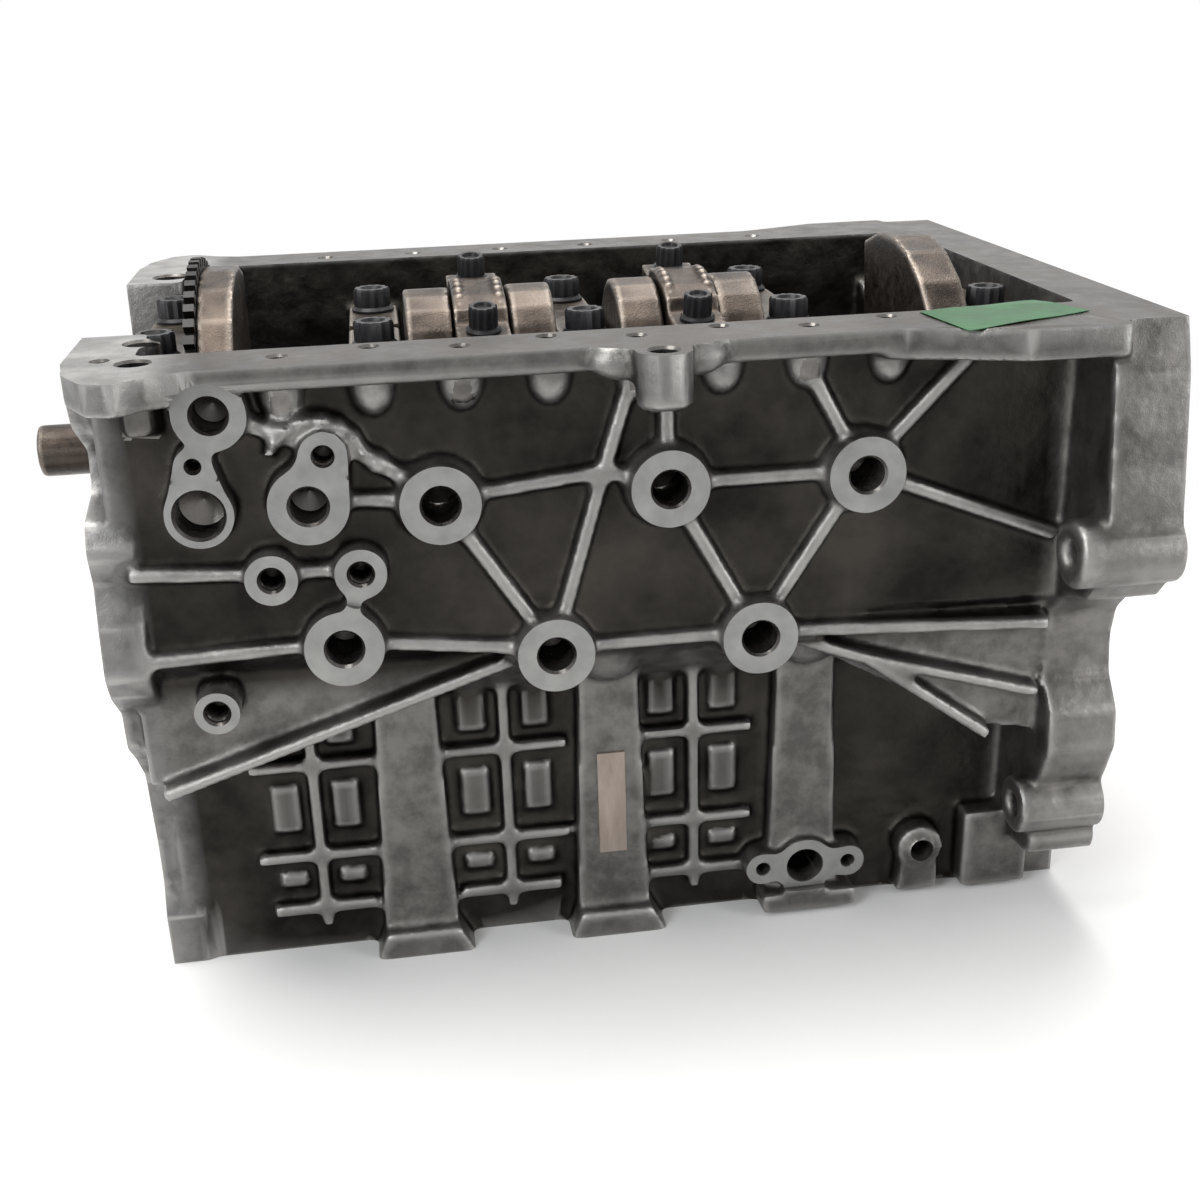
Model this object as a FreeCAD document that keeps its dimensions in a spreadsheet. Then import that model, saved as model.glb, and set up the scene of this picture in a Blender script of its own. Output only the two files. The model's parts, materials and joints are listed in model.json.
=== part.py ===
"""Short block of an in-line four, standing on its deck face with the crankcase open upwards.

Frame, in millimetres: the origin is on the deck face, between cylinders 2 and 3 and under the
crankshaft; +X runs along the crankshaft to the gearbox end, +Z from the deck face to the sump rail.
The bracket side of the block, with its six machined bosses, is the -Y side.
"""
import FreeCAD, Part
import math
import os
import re
import Sketcher

SIZES = {
    # Engine layout
    "bore_pitch": 88.0,
    "bore_radius": 41.25,
    "crank_throw": 43.0,
    "rod_length": 145.0,
    "crank_height": 222.0,
    "rail_height": 282.0,
    "crank_angle": 36.0,
    # Running fits and gaps
    "oil_gap": 0.04,
    "side_gap": 0.4,
    "open_pivot_gap": 0.8,
    "split_gap": 0.02,
    # Crankshaft
    "journal_radius": 26.0,
    "pin_radius": 24.0,
    "journal_length": 26.0,
    "pin_length": 24.0,
    "web_radius": 34.0,
    "counterweight_radius": 75.0,
    "counterweight_angle": 62.0,
    "nose_radius": 11.2,
    "nose_end": 236.0,
    "crank_flange_radius": 38.0,
    "crank_flange_end": 222.0,
    "flywheel_bolt_circle": 28.0,
    "flywheel_bolt_radius": 4.5,
    "wheel_radius": 79.0,
    "wheel_thickness": 4.5,
    "wheel_teeth": 60.0,
    "tooth_depth": 4.0,
    # Bearings and caps
    "cap_thickness": 22.0,
    "cap_half_width": 55.0,
    "cap_height": 46.0,
    "cap_bolt_spread": 39.7,
    "cap_bolt_radius": 5.0,
    "bolt_flange_radius": 9.6,
    "bolt_head_radius": 8.4,
    "bolt_head_height": 8.6,
    "bolt_flange_height": 2.4,
    # Connecting rods
    "rod_width": 22.0,
    "rod_bolt_spread": 31.0,
    "rod_bolt_radius": 4.2,
    "rod_head_radius": 6.0,
    "rod_flange_radius": 7.2,
    "rod_head_height": 9.0,
    "rod_bolt_seat": 24.5,
    "rod_bolt_length": 44.5,
    "big_end_radius": 32.0,
    "small_end_radius": 16.5,
    "rod_shank_width": 26.0,
    "rod_shoulder": 36.0,
    "rod_web_thickness": 5.0,
    # Pistons
    "piston_pin_radius": 10.5,
    "piston_pin_length": 56.0,
    "crown_height": 33.5,
    "crown_thickness": 9.0,
    "skirt_length": 21.0,
    # Block casting
    "front_face": 200.0,
    "rear_face": 215.0,
    "front_flange_thickness": 17.0,
    "rear_flange_thickness": 30.0,
    "jacket_half_width": 69.0,
    "skirt_half_width": 113.0,
    "rail_half_width": 134.0,
    "rail_thickness": 9.5,
    "skirt_foot": 120.0,
    "skirt_shoulder": 162.0,
    "case_half_width": 102.5,
    "case_floor_drop": 83.0,
    "case_floor_half_width": 72.0,
    "case_shoulder_drop": 36.0,
    "bulkhead_thickness": 24.0,
    "barrel_radius": 47.0,
    "jacket_radius": 55.0,
    "jacket_depth": 88.0,
    "head_bolt_spread": 48.0,
    "head_bolt_radius": 5.5,
    "head_bolt_depth": 95.0,
    "notch_half_width": 62.0,
    "seal_bore_radius": 40.0,
    # Bracket side
    "boss_face": 124.5,
    "rib_crest": 119.0,
    "rib_width": 8.0,
    "rib_crest_width": 5.0,
    "bracket_boss_radius": 15.5,
    "bracket_hole_radius": 7.0,
    "bracket_hole_depth": 28.0,
    "column_face": 79.0,
    "foot_face": 86.0,
    "bay_rib_face": 76.0,
    # Sump rail holes
    "rail_hole_radius": 3.4,
    "rail_row_start": -123.0,
    "rail_hole_pitch": 66.0,
    "rail_row_outer": 117.0,
    "rail_row_inner": 109.0,
    "rail_far_pitch": 44.0,
    "rail_row_far": 115.5,
    # Film
    "film_thickness": 0.3,
}

# Bosses of the bracket side: place along the block, height, outer radius, hole radius.
BRACKET_BOSSES = {
    "boss_front_upper": (-68.1, 223.4),
    "boss_middle_upper": (19.9, 223.4),
    "boss_rear_upper": (98.1, 223.4),
    "boss_front_lower": (-108.7, 168.5),
    "boss_middle_lower": (-26.7, 158.2),
    "boss_rear_lower": (55.9, 158.2),
}
SMALL_BOSSES = {
    "boss_corner": (-148.7, 263.4, 13.5, 6.4),
    "boss_sensor_front": (-133.3, 198.8, 10.1, 4.4),
    "boss_sensor_rear": (-99.9, 198.6, 10.1, 4.4),
    "boss_clip": (-159.4, 146.1, 8.9, 4.4),
    "ear_front_big": (-156.5, 226.2, 12.8, 9.0),
    "ear_front_small": (-156.5, 245.0, 7.0, 2.6),
    "ear_rear_big": (-116.8, 226.8, 15.2, 7.0),
    "ear_rear_small": (-109.8, 245.6, 9.0, 3.8),
}
# Ends of ribs that aren't at a boss.
NODES = {
    "node_crossing": (-5.0, 230.0),
    "node_rail_one": (8.0, 270.0),
    "node_rail_two": (20.0, 270.0),
    "node_rail_three": (73.0, 270.0),
    "node_rail_four": (143.0, 270.0),
    "node_rear_high": (181.0, 190.0),
    "node_rear_middle": (181.0, 151.0),
    "node_fork": (104.0, 140.0),
    "node_rear_low": (181.0, 117.0),
    "node_rear_foot": (160.0, 99.0),
    "node_front_high": (-186.0, 202.0),
    "node_front_middle": (-186.0, 166.0),
    "node_front_foot": (-186.0, 106.0),
}

for name, (along, up) in list(BRACKET_BOSSES.items()) + list(NODES.items()):
    SIZES[name + "_along"] = along
    SIZES[name + "_up"] = up
for name, (along, up, outer, hole) in SMALL_BOSSES.items():
    SIZES[name + "_along"] = along
    SIZES[name + "_up"] = up
    SIZES[name + "_outer"] = outer
    SIZES[name + "_hole"] = hole

ALIAS = re.compile(r"\b(%s)\b" % "|".join(sorted(SIZES, key=len, reverse=True)))
LONGEST = 700.0
X_AXIS = FreeCAD.Vector(1, 0, 0)
Y_AXIS = FreeCAD.Vector(0, 1, 0)
Z_AXIS = FreeCAD.Vector(0, 0, 1)
UPRIGHT = FreeCAD.Rotation()
ALONG_X = FreeCAD.Rotation(Y_AXIS, 90)
TOWARDS_VIEWER = FreeCAD.Rotation(X_AXIS, 90)
CROSS_SECTION = FreeCAD.Rotation(FreeCAD.Vector(1, 1, 1), 120)

doc = FreeCAD.newDocument("ShortBlock")
sheet = doc.addObject("Spreadsheet::Sheet", "Sizes")
for row, (alias, value) in enumerate(SIZES.items(), start=1):
    sheet.set("A%d" % row, alias)
    sheet.set("B%d" % row, str(value))
    sheet.setAlias("B%d" % row, alias)
doc.recompute()

PARTS = []


# ---------------------------------------------------------------- helpers

def formula(text):
    """The text as an expression: each size's name becomes a reference to its cell."""
    return ALIAS.sub(r"Sizes.\1", str(text))


def number(text):
    """The value that a formula has at the sheet's present sizes."""
    value = sheet.evalExpression(formula(text))
    return value.Value if hasattr(value, "Value") else float(value)


def bind(item, **properties):
    """Ties an object's properties to formulas of the sheet's sizes."""
    for key, text in properties.items():
        item.setExpression(key, formula(text))


def place(item, at=("0", "0", "0"), turn=UPRIGHT, angle=None):
    """Places an object at formulas, turned by a fixed rotation or by a formula about its axis."""
    item.Placement = FreeCAD.Placement(FreeCAD.Vector(), turn)
    for key, text in zip("xyz", at):
        item.setExpression("Placement.Base." + key, formula(text))
    if angle is not None:
        item.setExpression("Placement.Rotation.Angle", formula(angle))
    return item


def box(name, length, width, height, at):
    """A block from its lowest corner."""
    item = doc.addObject("Part::Box", name)
    bind(item, Length=length, Width=width, Height=height)
    return place(item, at)


def rod(name, radius, length, at, turn=UPRIGHT):
    """A cylinder from the centre of its first end."""
    item = doc.addObject("Part::Cylinder", name)
    bind(item, Radius=radius, Height=length)
    return place(item, at, turn)


def along_x(name, radius, length, at):
    return rod(name, radius, length, at, ALONG_X)


def from_side(name, radius, length, at):
    """A cylinder that runs from its place towards -Y."""
    return rod(name, radius, length, at, TOWARDS_VIEWER)


def fuse(name, *items):
    item = doc.addObject("Part::MultiFuse", name)
    item.Shapes = list(items)
    return item


def cut(name, base, *tools):
    item = doc.addObject("Part::Cut", name)
    item.Base = base
    item.Tool = tools[0] if len(tools) == 1 else fuse(name + "_tools", *tools)
    return item


def common(name, *items):
    item = doc.addObject("Part::MultiCommon", name)
    item.Shapes = list(items)
    return item


def add_outline(sketch, points):
    """Draws a closed outline whose corners are tied to formulas."""
    corners = [FreeCAD.Vector(number(u), number(v), 0) for u, v in points]
    first = sketch.GeometryCount
    count = len(corners)
    for i in range(count):
        sketch.addGeometry(Part.LineSegment(corners[i], corners[(i + 1) % count]), False)
    for i in range(count):
        following = first + (i + 1) % count
        sketch.addConstraint(Sketcher.Constraint("Coincident", first + i, 2, following, 1))
    for i, (u, v) in enumerate(points):
        for kind, text, now in (("DistanceX", u, corners[i].x), ("DistanceY", v, corners[i].y)):
            index = sketch.addConstraint(Sketcher.Constraint(kind, -1, 1, first + i, 1, now))
            if ALIAS.search(str(text)):
                sketch.setExpression("Constraints[%d]" % index, formula(text))


def add_circle(sketch, radius, at=("0", "0")):
    """Draws a circle whose radius and centre are tied to formulas."""
    centre = FreeCAD.Vector(number(at[0]), number(at[1]), 0)
    index = sketch.addGeometry(Part.Circle(centre, Z_AXIS, number(radius)), False)
    known = (("Radius", radius, None), ("DistanceX", at[0], centre.x), ("DistanceY", at[1], centre.y))
    for kind, text, now in known:
        if now is None:
            rule = Sketcher.Constraint(kind, index, number(text))
        else:
            rule = Sketcher.Constraint(kind, -1, 1, index, 3, now)
        place_in_list = sketch.addConstraint(rule)
        if ALIAS.search(str(text)):
            sketch.setExpression("Constraints[%d]" % place_in_list, formula(text))


def plate(name, points, length, at=("0", "0", "0"), turn=UPRIGHT, centred=False):
    """A prism of an outline, along its sketch's normal."""
    sketch = doc.addObject("Sketcher::SketchObject", name + "_outline")
    add_outline(sketch, points)
    place(sketch, at, turn)
    item = doc.addObject("Part::Extrusion", name)
    item.Base = sketch
    item.DirMode = "Normal"
    item.Solid = True
    item.Symmetric = centred
    bind(item, LengthFwd=length)
    return item


def section(name, points, start, length):
    """A prism along X of an outline in Y and Z."""
    return plate(name, points, length, (start, "0", "0"), CROSS_SECTION)


def side_plate(name, points, inner, outer):
    """A prism of an outline in X and Z, between two distances on the -Y side."""
    return plate(name, points, "(%s) - (%s)" % (outer, inner), ("0", "-(%s)" % inner, "0"), TOWARDS_VIEWER)


def turned(name, points, at=("0", "0", "0"), turn=UPRIGHT):
    """A solid of revolution about the outline's own Y axis, which stands along Z."""
    sketch = doc.addObject("Sketcher::SketchObject", name + "_profile")
    add_outline(sketch, points)
    sketch.Placement = FreeCAD.Placement(FreeCAD.Vector(), TOWARDS_VIEWER)
    item = doc.addObject("Part::Revolution", name)
    item.Source = sketch
    item.Axis = Z_AXIS
    item.Angle = 360
    item.Solid = True
    return place(item, at, turn)


def ring(name, outer, inner, length, at, turn=UPRIGHT):
    """A tube from the centre of its first end."""
    return cut(name, rod(name + "_outer", outer, length, at, turn), rod(name + "_inner", inner, length, at, turn))


def facetted(name, radius, length, at, sides=12, turn=UPRIGHT, inside=False):
    """A prism in place of a round where only its fit matters.

    Its flats lie at the radius, or its corners if it has to stay inside the round.
    """
    item = doc.addObject("Part::Prism", name)
    item.Polygon = sides
    corner = radius if inside else "(%s) / cos(%s)" % (radius, 180 / sides)
    bind(item, Circumradius=corner, Height=length)
    return place(item, at, turn)


def part(label, item):
    """Names a finished piece; the label names its file."""
    item.Label = label
    PARTS.append(item)
    return item


def flanged_bolt(name, radius, shank, flange, head, head_height, flange_height, at):
    """A flanged bolt with a twelve-sided head; its place is the seat under the flange."""
    pieces = [
        facetted(name + "_shank", radius, "%s + 1" % shank, ("0", "0", "-(%s)" % shank)),
        facetted(name + "_flange", flange, flange_height, ("0", "0", "0"), 20),
        facetted(name + "_head", head, head_height, ("0", "0", flange_height)),
    ]
    return place(fuse(name, *pieces), at)


# ---------------------------------------------------------------- engine layout

CYLINDERS = tuple(range(1, 5))
CYLINDER_AT = {n: "bore_pitch * %s" % (n - 2.5) for n in CYLINDERS}
MAINS = tuple(range(1, 6))
MAIN_AT = {n: "bore_pitch * %s" % (n - 3) for n in MAINS}
WEB_THICKNESS = "(bore_pitch - journal_length - pin_length) / 2"
MAIN_BORE = "(journal_radius + oil_gap)"
ROD_BORE = "(pin_radius + oil_gap)"
CASE_FLOOR = "crank_height - case_floor_drop"
CASE_SHOULDER = "crank_height - case_shoulder_drop"
FILM_SEAT = "rail_height - film_thickness - split_gap"
FILM = [("122", "-108"), ("172", "-104"), ("184", "-123"), ("127", "-146")]


def pin_angle(cylinder):
    """The crankpin's angle from straight up, towards -Y; the outer pins are opposite the inner ones."""
    return "crank_angle" if cylinder in (2, 3) else "(crank_angle + 180)"


def rod_lean(cylinder):
    """The rod's angle from its cylinder, positive towards -Y at the big end."""
    return "asin(crank_throw * sin(%s) / rod_length)" % pin_angle(cylinder)


def pin_place(cylinder):
    angle = pin_angle(cylinder)
    across = "-crank_throw * sin(%s)" % angle
    up = "crank_height + crank_throw * cos(%s)" % angle
    return across, up


def wrist_height(cylinder):
    across, up = pin_place(cylinder)
    return "(%s) - rod_length * cos(%s)" % (up, rod_lean(cylinder))


# ---------------------------------------------------------------- cylinder block

def crankcase():
    """The main casting as one cross-section: water jacket, crankcase skirts and sump rail."""
    right = [
        ("jacket_half_width", "0"),
        ("jacket_half_width", "skirt_foot"),
        ("skirt_half_width", "skirt_shoulder"),
        ("skirt_half_width", "rail_height - rail_thickness"),
        ("rail_half_width", "rail_height - rail_thickness"),
        ("rail_half_width", "rail_height"),
    ]
    left = [("-" + y, z) for y, z in reversed(right)]
    return section("case_body", right + left, "-front_face + 8", "front_face + rear_face - 16")


def timing_flange():
    """The front face, with the scalloped edge that the timing cover bolts to."""
    edge = [
        (106, 282), (111, 270), (107, 258), (84, 243), (88, 228), (112, 222), (117, 212),
        (113, 198), (117, 182), (120, "skirt_shoulder"), (114, 151), (99, 138), (98, 122), (84, 110),
        (71, 96), (69, 80), (66, 60), (66, 40), (72, 24), (71, 0),
    ]
    near = [(str(-y), str(z)) for y, z in edge]
    far = [(str(y), str(z)) for y, z in reversed(edge)]
    return section("timing_flange", near + far, "-front_face", "front_flange_thickness")


def gearbox_flange():
    """The rear face, wide at the crankcase and stepped in beside the cylinders."""
    edge = [
        (140, 282), (147, 262), (151, 230), (154, 205), (152, 184), (140, 169), (120, 163), (109, 152),
        (106, 138), (108, 122), (118, 108), (120, 92), (113, 74), (104, 58), (103, 48), (110, 42),
        (108, 34), (100, 31), (71, 29), (71, 0),
    ]
    near = [(str(-y), str(z)) for y, z in edge]
    far = [(str(y), str(z)) for y, z in reversed(edge)]
    return section("gearbox_flange", near + far, "rear_face - rear_flange_thickness", "rear_flange_thickness")


def sump_rail_corners():
    """The rail's pads at the timing end and its flare towards the gearbox flange."""
    front = [(-200, 104), (-197, 127), (-188, 144), (-177, 148), (-166, 139), (-152, 133), (-152, 90), (-200, 90)]
    rear = [(100, 131), (125, 139), (150, 149), (190, 150), (190, 100), (100, 100)]
    pieces = []
    for label, points in (("front", front), ("rear", rear)):
        for side in (-1, 1):
            corner = [(str(x), str(side * y)) for x, y in points]
            pieces.append(plate("rail_%s_%d" % (label, side), corner, "rail_thickness + 3",
                                ("0", "0", "rail_height - rail_thickness - 3")))
    return pieces


def rail_ear():
    """The drilled ear that stands out of the rail at the middle of the block."""
    return [
        rod("ear_pad", "10.5", "20", ("14.1", "-144.5", "rail_height - 20")),
        box("ear_neck", "24", "30", "12", ("2.1", "-140", "rail_height - 12")),
    ]


def rib(name, start, end, foot="skirt_half_width - 6", crest="rib_crest"):
    """A drafted rib between two named places of the bracket side."""
    item = doc.addObject("Part::Wedge", name)
    run = "sqrt(({1}_along - {0}_along)^2 + ({1}_up - {0}_up)^2)".format(start, end)
    bind(item, Xmin="0", X2min="0", Xmax=run, X2max=run, Ymin="0", Ymax="(%s) - (%s)" % (crest, foot),
         Zmin="-rib_width / 2", Zmax="rib_width / 2", Z2min="-rib_crest_width / 2", Z2max="rib_crest_width / 2")
    slope = "atan2({1}_up - {0}_up; {1}_along - {0}_along)".format(start, end)
    turn = FreeCAD.Rotation(Y_AXIS, -number(slope)) * FreeCAD.Rotation(X_AXIS, 180)
    item.Placement = FreeCAD.Placement(FreeCAD.Vector(), turn)
    for key, text in zip("xyz", (start + "_along", "-(%s)" % foot, start + "_up")):
        item.setExpression("Placement.Base." + key, formula(text))
    return item


RIBS = (
    ("boss_front_upper", "boss_middle_lower"), ("boss_front_upper", "node_crossing"),
    ("node_crossing", "boss_middle_upper"), ("node_rail_one", "node_crossing"),
    ("node_crossing", "boss_middle_lower"), ("node_rail_two", "boss_middle_upper"),
    ("boss_middle_upper", "boss_rear_upper"), ("boss_middle_upper", "boss_rear_lower"),
    ("boss_rear_upper", "boss_rear_lower"), ("node_rail_three", "boss_rear_upper"),
    ("node_rail_four", "boss_rear_upper"), ("boss_rear_upper", "node_rear_high"),
    ("boss_rear_lower", "node_rear_middle"), ("boss_middle_lower", "boss_rear_lower"),
    ("boss_front_lower", "boss_middle_lower"), ("boss_front_lower", "node_front_middle"),
    ("boss_sensor_front", "node_front_high"), ("boss_sensor_front", "boss_sensor_rear"),
    ("boss_corner", "ear_rear_small"), ("ear_rear_big", "boss_front_upper"),
)
LOW_RIBS = (
    ("boss_rear_lower", "node_fork"), ("node_fork", "node_rear_foot"), ("node_fork", "node_rear_low"),
    ("node_front_foot", "boss_middle_lower"), ("boss_front_lower", "boss_sensor_rear"),
)


def bracket_ribs():
    pieces = [rib("rib_%d" % i, start, end) for i, (start, end) in enumerate(RIBS)]
    for i, (start, end) in enumerate(LOW_RIBS):
        pieces.append(rib("low_rib_%d" % i, start, end, "jacket_half_width - 4", "rib_crest - 4"))
    return pieces


def bracket_boss(name, radius, foot):
    return from_side(name, radius, "boss_face - (%s)" % foot, (name + "_along", "-(%s)" % foot, name + "_up"))


def ear_web(name, big, small):
    """The straight-sided web between the two rounds of a two-hole boss."""
    points = [
        ("{0}_along - {0}_outer".format(big), "{0}_up".format(big)),
        ("{0}_along + {0}_outer".format(big), "{0}_up".format(big)),
        ("{0}_along + {0}_outer".format(small), "{0}_up".format(small)),
        ("{0}_along - {0}_outer".format(small), "{0}_up".format(small)),
    ]
    return side_plate(name, points, "skirt_half_width - 6", "boss_face")


def bracket_bosses():
    foot = "case_half_width"
    pieces = [bracket_boss(name, "bracket_boss_radius", "jacket_half_width + 6" if "lower" in name else foot)
              for name in BRACKET_BOSSES]
    for name in SMALL_BOSSES:
        low = "jacket_half_width + 6" if name == "boss_clip" else foot
        pieces.append(bracket_boss(name, name + "_outer", low))
    pieces.append(ear_web("ear_front_web", "ear_front_big", "ear_front_small"))
    pieces.append(ear_web("ear_rear_web", "ear_rear_big", "ear_rear_small"))
    return pieces


def skirt_wings():
    """The skirt reaches lower towards both ends, above a slanting rib."""
    front = [
        ("-front_face + 8", "node_front_foot_up"), ("boss_middle_lower_along", "boss_middle_lower_up"),
        ("boss_middle_lower_along", "skirt_shoulder + 8"), ("-front_face + 8", "skirt_shoulder + 8"),
    ]
    rear = [
        ("boss_rear_lower_along", "boss_rear_lower_up"), ("node_rear_foot_along", "node_rear_foot_up"),
        ("rear_face - 8", "node_rear_foot_up - 8"), ("rear_face - 8", "skirt_shoulder + 8"),
        ("boss_rear_lower_along", "skirt_shoulder + 8"),
    ]
    return [
        side_plate("wing_front", front, "jacket_half_width - 6", "skirt_half_width - 9"),
        side_plate("wing_rear", rear, "jacket_half_width - 6", "skirt_half_width - 9"),
    ]


def columns():
    """The three smooth columns over the inner bulkheads, each on a wider foot at the deck."""
    pieces = []
    for n in (2, 3, 4):
        middle = MAIN_AT[n]
        shaft = [(middle + " - 17", "0"), (middle + " + 17", "0"),
                 (middle + " + 12", "skirt_shoulder"), (middle + " - 12", "skirt_shoulder")]
        foot = [(middle + " - 22", "0"), (middle + " + 25", "0"), (middle + " + 17", "12"), (middle + " - 16", "12")]
        pieces.append(side_plate("column_%d" % n, shaft, "jacket_half_width - 6", "column_face"))
        if n < 4:
            pieces.append(side_plate("foot_%d" % n, foot, "jacket_half_width - 6", "foot_face"))
    return pieces


def bay_ribs():
    """Upright and level ribs of the water jacket's wall, with low pads between them."""
    pieces = []
    for bay, middle in enumerate((-129.8, -45.9, 38.0)):
        wall = "jacket_half_width - 4"
        upright = [(str(middle - 2.5), "14"), (str(middle + 2.5), "14"),
                   (str(middle + 2.5), "skirt_foot + 10"), (str(middle - 2.5), "skirt_foot + 10")]
        pieces.append(side_plate("bay_upright_%d" % bay, upright, wall, "bay_rib_face"))
        for level, height in enumerate((94.4, 50.0)):
            bar = [(str(middle - 27), str(height - 2.5)), (str(middle + 27), str(height - 2.5)),
                   (str(middle + 27), str(height + 2.5)), (str(middle - 27), str(height + 2.5))]
            pieces.append(side_plate("bay_level_%d_%d" % (bay, level), bar, wall, "bay_rib_face"))
    return pieces


def outlet_flange():
    """The two-bolt coolant outlet, its pad and the small boss beside it, all near the deck."""
    pad = [("68", "2"), ("112", "2"), ("112", "12"), ("68", "12")]
    leg = [("134", "2"), ("155", "2"), ("153", "26"), ("137", "26")]
    return [
        from_side("outlet_round", "13.5", "18", ("88.3", "-66", "24.7")),
        from_side("outlet_ear_front", "8", "18", ("68.6", "-66", "25")),
        from_side("outlet_ear_rear", "8", "18", ("108.6", "-66", "25")),
        side_plate("outlet_bar", [("68.6", "18"), ("108.6", "18"), ("108.6", "32"), ("68.6", "32")], "66", "84"),
        side_plate("outlet_pad", pad, "66", "87"),
        from_side("drain_round", "11", "16", ("144.4", "-66", "26")),
        side_plate("drain_leg", leg, "66", "80"),
        side_plate("corner_block", [("165", "2"), ("197", "2"), ("197", "42"), ("165", "42")], "66", "82"),
    ]


def gearbox_bolt_bosses():
    """Bolt bosses on the front of the gearbox flange."""
    return [
        along_x("gearbox_boss_high_%d" % side, "14", "42", ("rear_face - 42", str(side * 146), "192"))
        for side in (-1, 1)
    ] + [
        along_x("gearbox_boss_low_%d" % side, "13", "38", ("rear_face - 38", str(side * 104), "58"))
        for side in (-1, 1)
    ]


def case_cavity():
    """The open crankcase between the bulkheads."""
    outline = [
        ("-case_floor_half_width", CASE_FLOOR), ("case_floor_half_width", CASE_FLOOR),
        ("case_half_width", CASE_SHOULDER), ("case_half_width", "rail_height + 5"),
        ("-case_half_width", "rail_height + 5"), ("-case_half_width", CASE_SHOULDER),
    ]
    pieces = []
    for n in CYLINDERS:
        start = "%s + bulkhead_thickness / 2" % MAIN_AT[n]
        pieces.append(section("cavity_%d" % n, outline, start, "bore_pitch - bulkhead_thickness"))
    return pieces


def bearing_saddles():
    """The cap registers across the bulkheads, the slopes beside them and the line bore."""
    register = [
        ("-cap_half_width - side_gap", "crank_height"), ("cap_half_width + side_gap", "crank_height"),
        ("cap_half_width + 2", "crank_height + 16"), ("case_half_width", "crank_height + 38"),
        ("case_half_width", "rail_height + 5"), ("-case_half_width", "rail_height + 5"),
        ("-case_half_width", "crank_height + 38"), ("-cap_half_width - 2", "crank_height + 16"),
    ]
    notch = [
        ("-cap_half_width - side_gap", "crank_height"), ("cap_half_width + side_gap", "crank_height"),
        ("notch_half_width", "rail_height + 5"), ("-notch_half_width", "rail_height + 5"),
    ]
    front = "-2 * bore_pitch - bulkhead_thickness / 2"
    return [
        section("register_cut", register, front + " + 13", "4 * bore_pitch + bulkhead_thickness - 13"),
        section("front_notch", notch, "-front_face - 5", "40"),
        along_x("line_bore", MAIN_BORE, str(LONGEST), (str(-LONGEST / 2), "0", "crank_height")),
        along_x("seal_bore", "seal_bore_radius", "60", ("2 * bore_pitch + bulkhead_thickness / 2 + 1", "0", "crank_height")),
        along_x("nose_bore", "nose_radius + 12", "30", ("-front_face - 5", "0", "crank_height")),
    ]


def cylinder_bores():
    return [rod("bore_%d" % n, "bore_radius", CASE_FLOOR + " + 10", (CYLINDER_AT[n], "0", "-5")) for n in CYLINDERS]


def water_jacket():
    """The open-deck jacket: one faceted slot around the four joined barrels."""
    outer, inner = [
        fuse(name, *[facetted("%s_%d" % (name, n), radius, "jacket_depth + 5", (CYLINDER_AT[n], "0", "-5"))
                     for n in CYLINDERS])
        for name, radius in (("jacket_outer", "jacket_radius"), ("jacket_inner", "barrel_radius"))
    ]
    return cut("jacket_slot", outer, inner)


def bolt_holes():
    """Threaded holes for the caps and the cylinder head, drilled to thread radius."""
    pieces = []
    for n in MAINS:
        for side in (-1, 1):
            spot = (MAIN_AT[n], "%d * cap_bolt_spread" % side, "crank_height - 58")
            pieces.append(facetted("cap_hole_%d_%d" % (n, side), "cap_bolt_radius", "60", spot))
            spot = (MAIN_AT[n], "%d * head_bolt_spread" % side, "-5")
            pieces.append(rod("head_hole_%d_%d" % (n, side), "head_bolt_radius", "head_bolt_depth + 5", spot))
    return pieces


def rail_holes():
    """Sump bolt holes; the two rows of the bracket side alternate."""
    spots = [("rail_row_start + %d * rail_hole_pitch" % i, "-rail_row_outer") for i in range(4)]
    spots += [("rail_row_start + %s * rail_hole_pitch" % (i + 0.5), "-rail_row_inner") for i in range(4)]
    spots += [("%s * rail_far_pitch" % (i - 2.5), "rail_row_far") for i in range(6)]
    pieces = [rod("rail_hole_%d" % i, "rail_hole_radius", "18", (x, y, "rail_height - 17"))
              for i, (x, y) in enumerate(spots)]
    wide = [(-181.7, 78.8, 8.0, 24), (-175.3, -78.5, 6.5, 24), (-173.8, -114.8, 6.0, 24),
            (-186.5, -107.5, 3.0, 16), (14.1, -144.5, 5.5, 40)]
    for i, (x, y, radius, depth) in enumerate(wide):
        pieces.append(rod("rail_bore_%d" % i, str(radius), str(depth + 1),
                          (str(x), str(y), "rail_height - %d" % depth)))
    return pieces


def bracket_holes():
    depth = "bracket_hole_depth"
    pieces = [from_side("hole_" + name, "bracket_hole_radius", depth + " + 1",
                        (name + "_along", "-boss_face + " + depth, name + "_up")) for name in BRACKET_BOSSES]
    for name in SMALL_BOSSES:
        pieces.append(from_side("hole_" + name, name + "_hole", "19", (name + "_along", "-boss_face + 18", name + "_up")))
    return pieces


def side_holes():
    """Holes of the outlet, the drain boss and the gearbox flange."""
    pieces = [
        from_side("outlet_bore", "8.2", "30", ("88.3", "-56", "24.7")),
        from_side("outlet_stud_front", "3", "15", ("68.6", "-70", "25")),
        from_side("outlet_stud_rear", "3", "15", ("108.6", "-70", "25")),
        from_side("drain_bore", "5", "20", ("144.4", "-64", "26")),
    ]
    for side in (-1, 1):
        for label, y, z in (("high", 146, 192), ("low", 104, 58)):
            pieces.append(along_x("gearbox_hole_%s_%d" % (label, side), "5.5", "50",
                                  ("rear_face - 46", str(side * y), str(z))))
    return pieces


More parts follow.
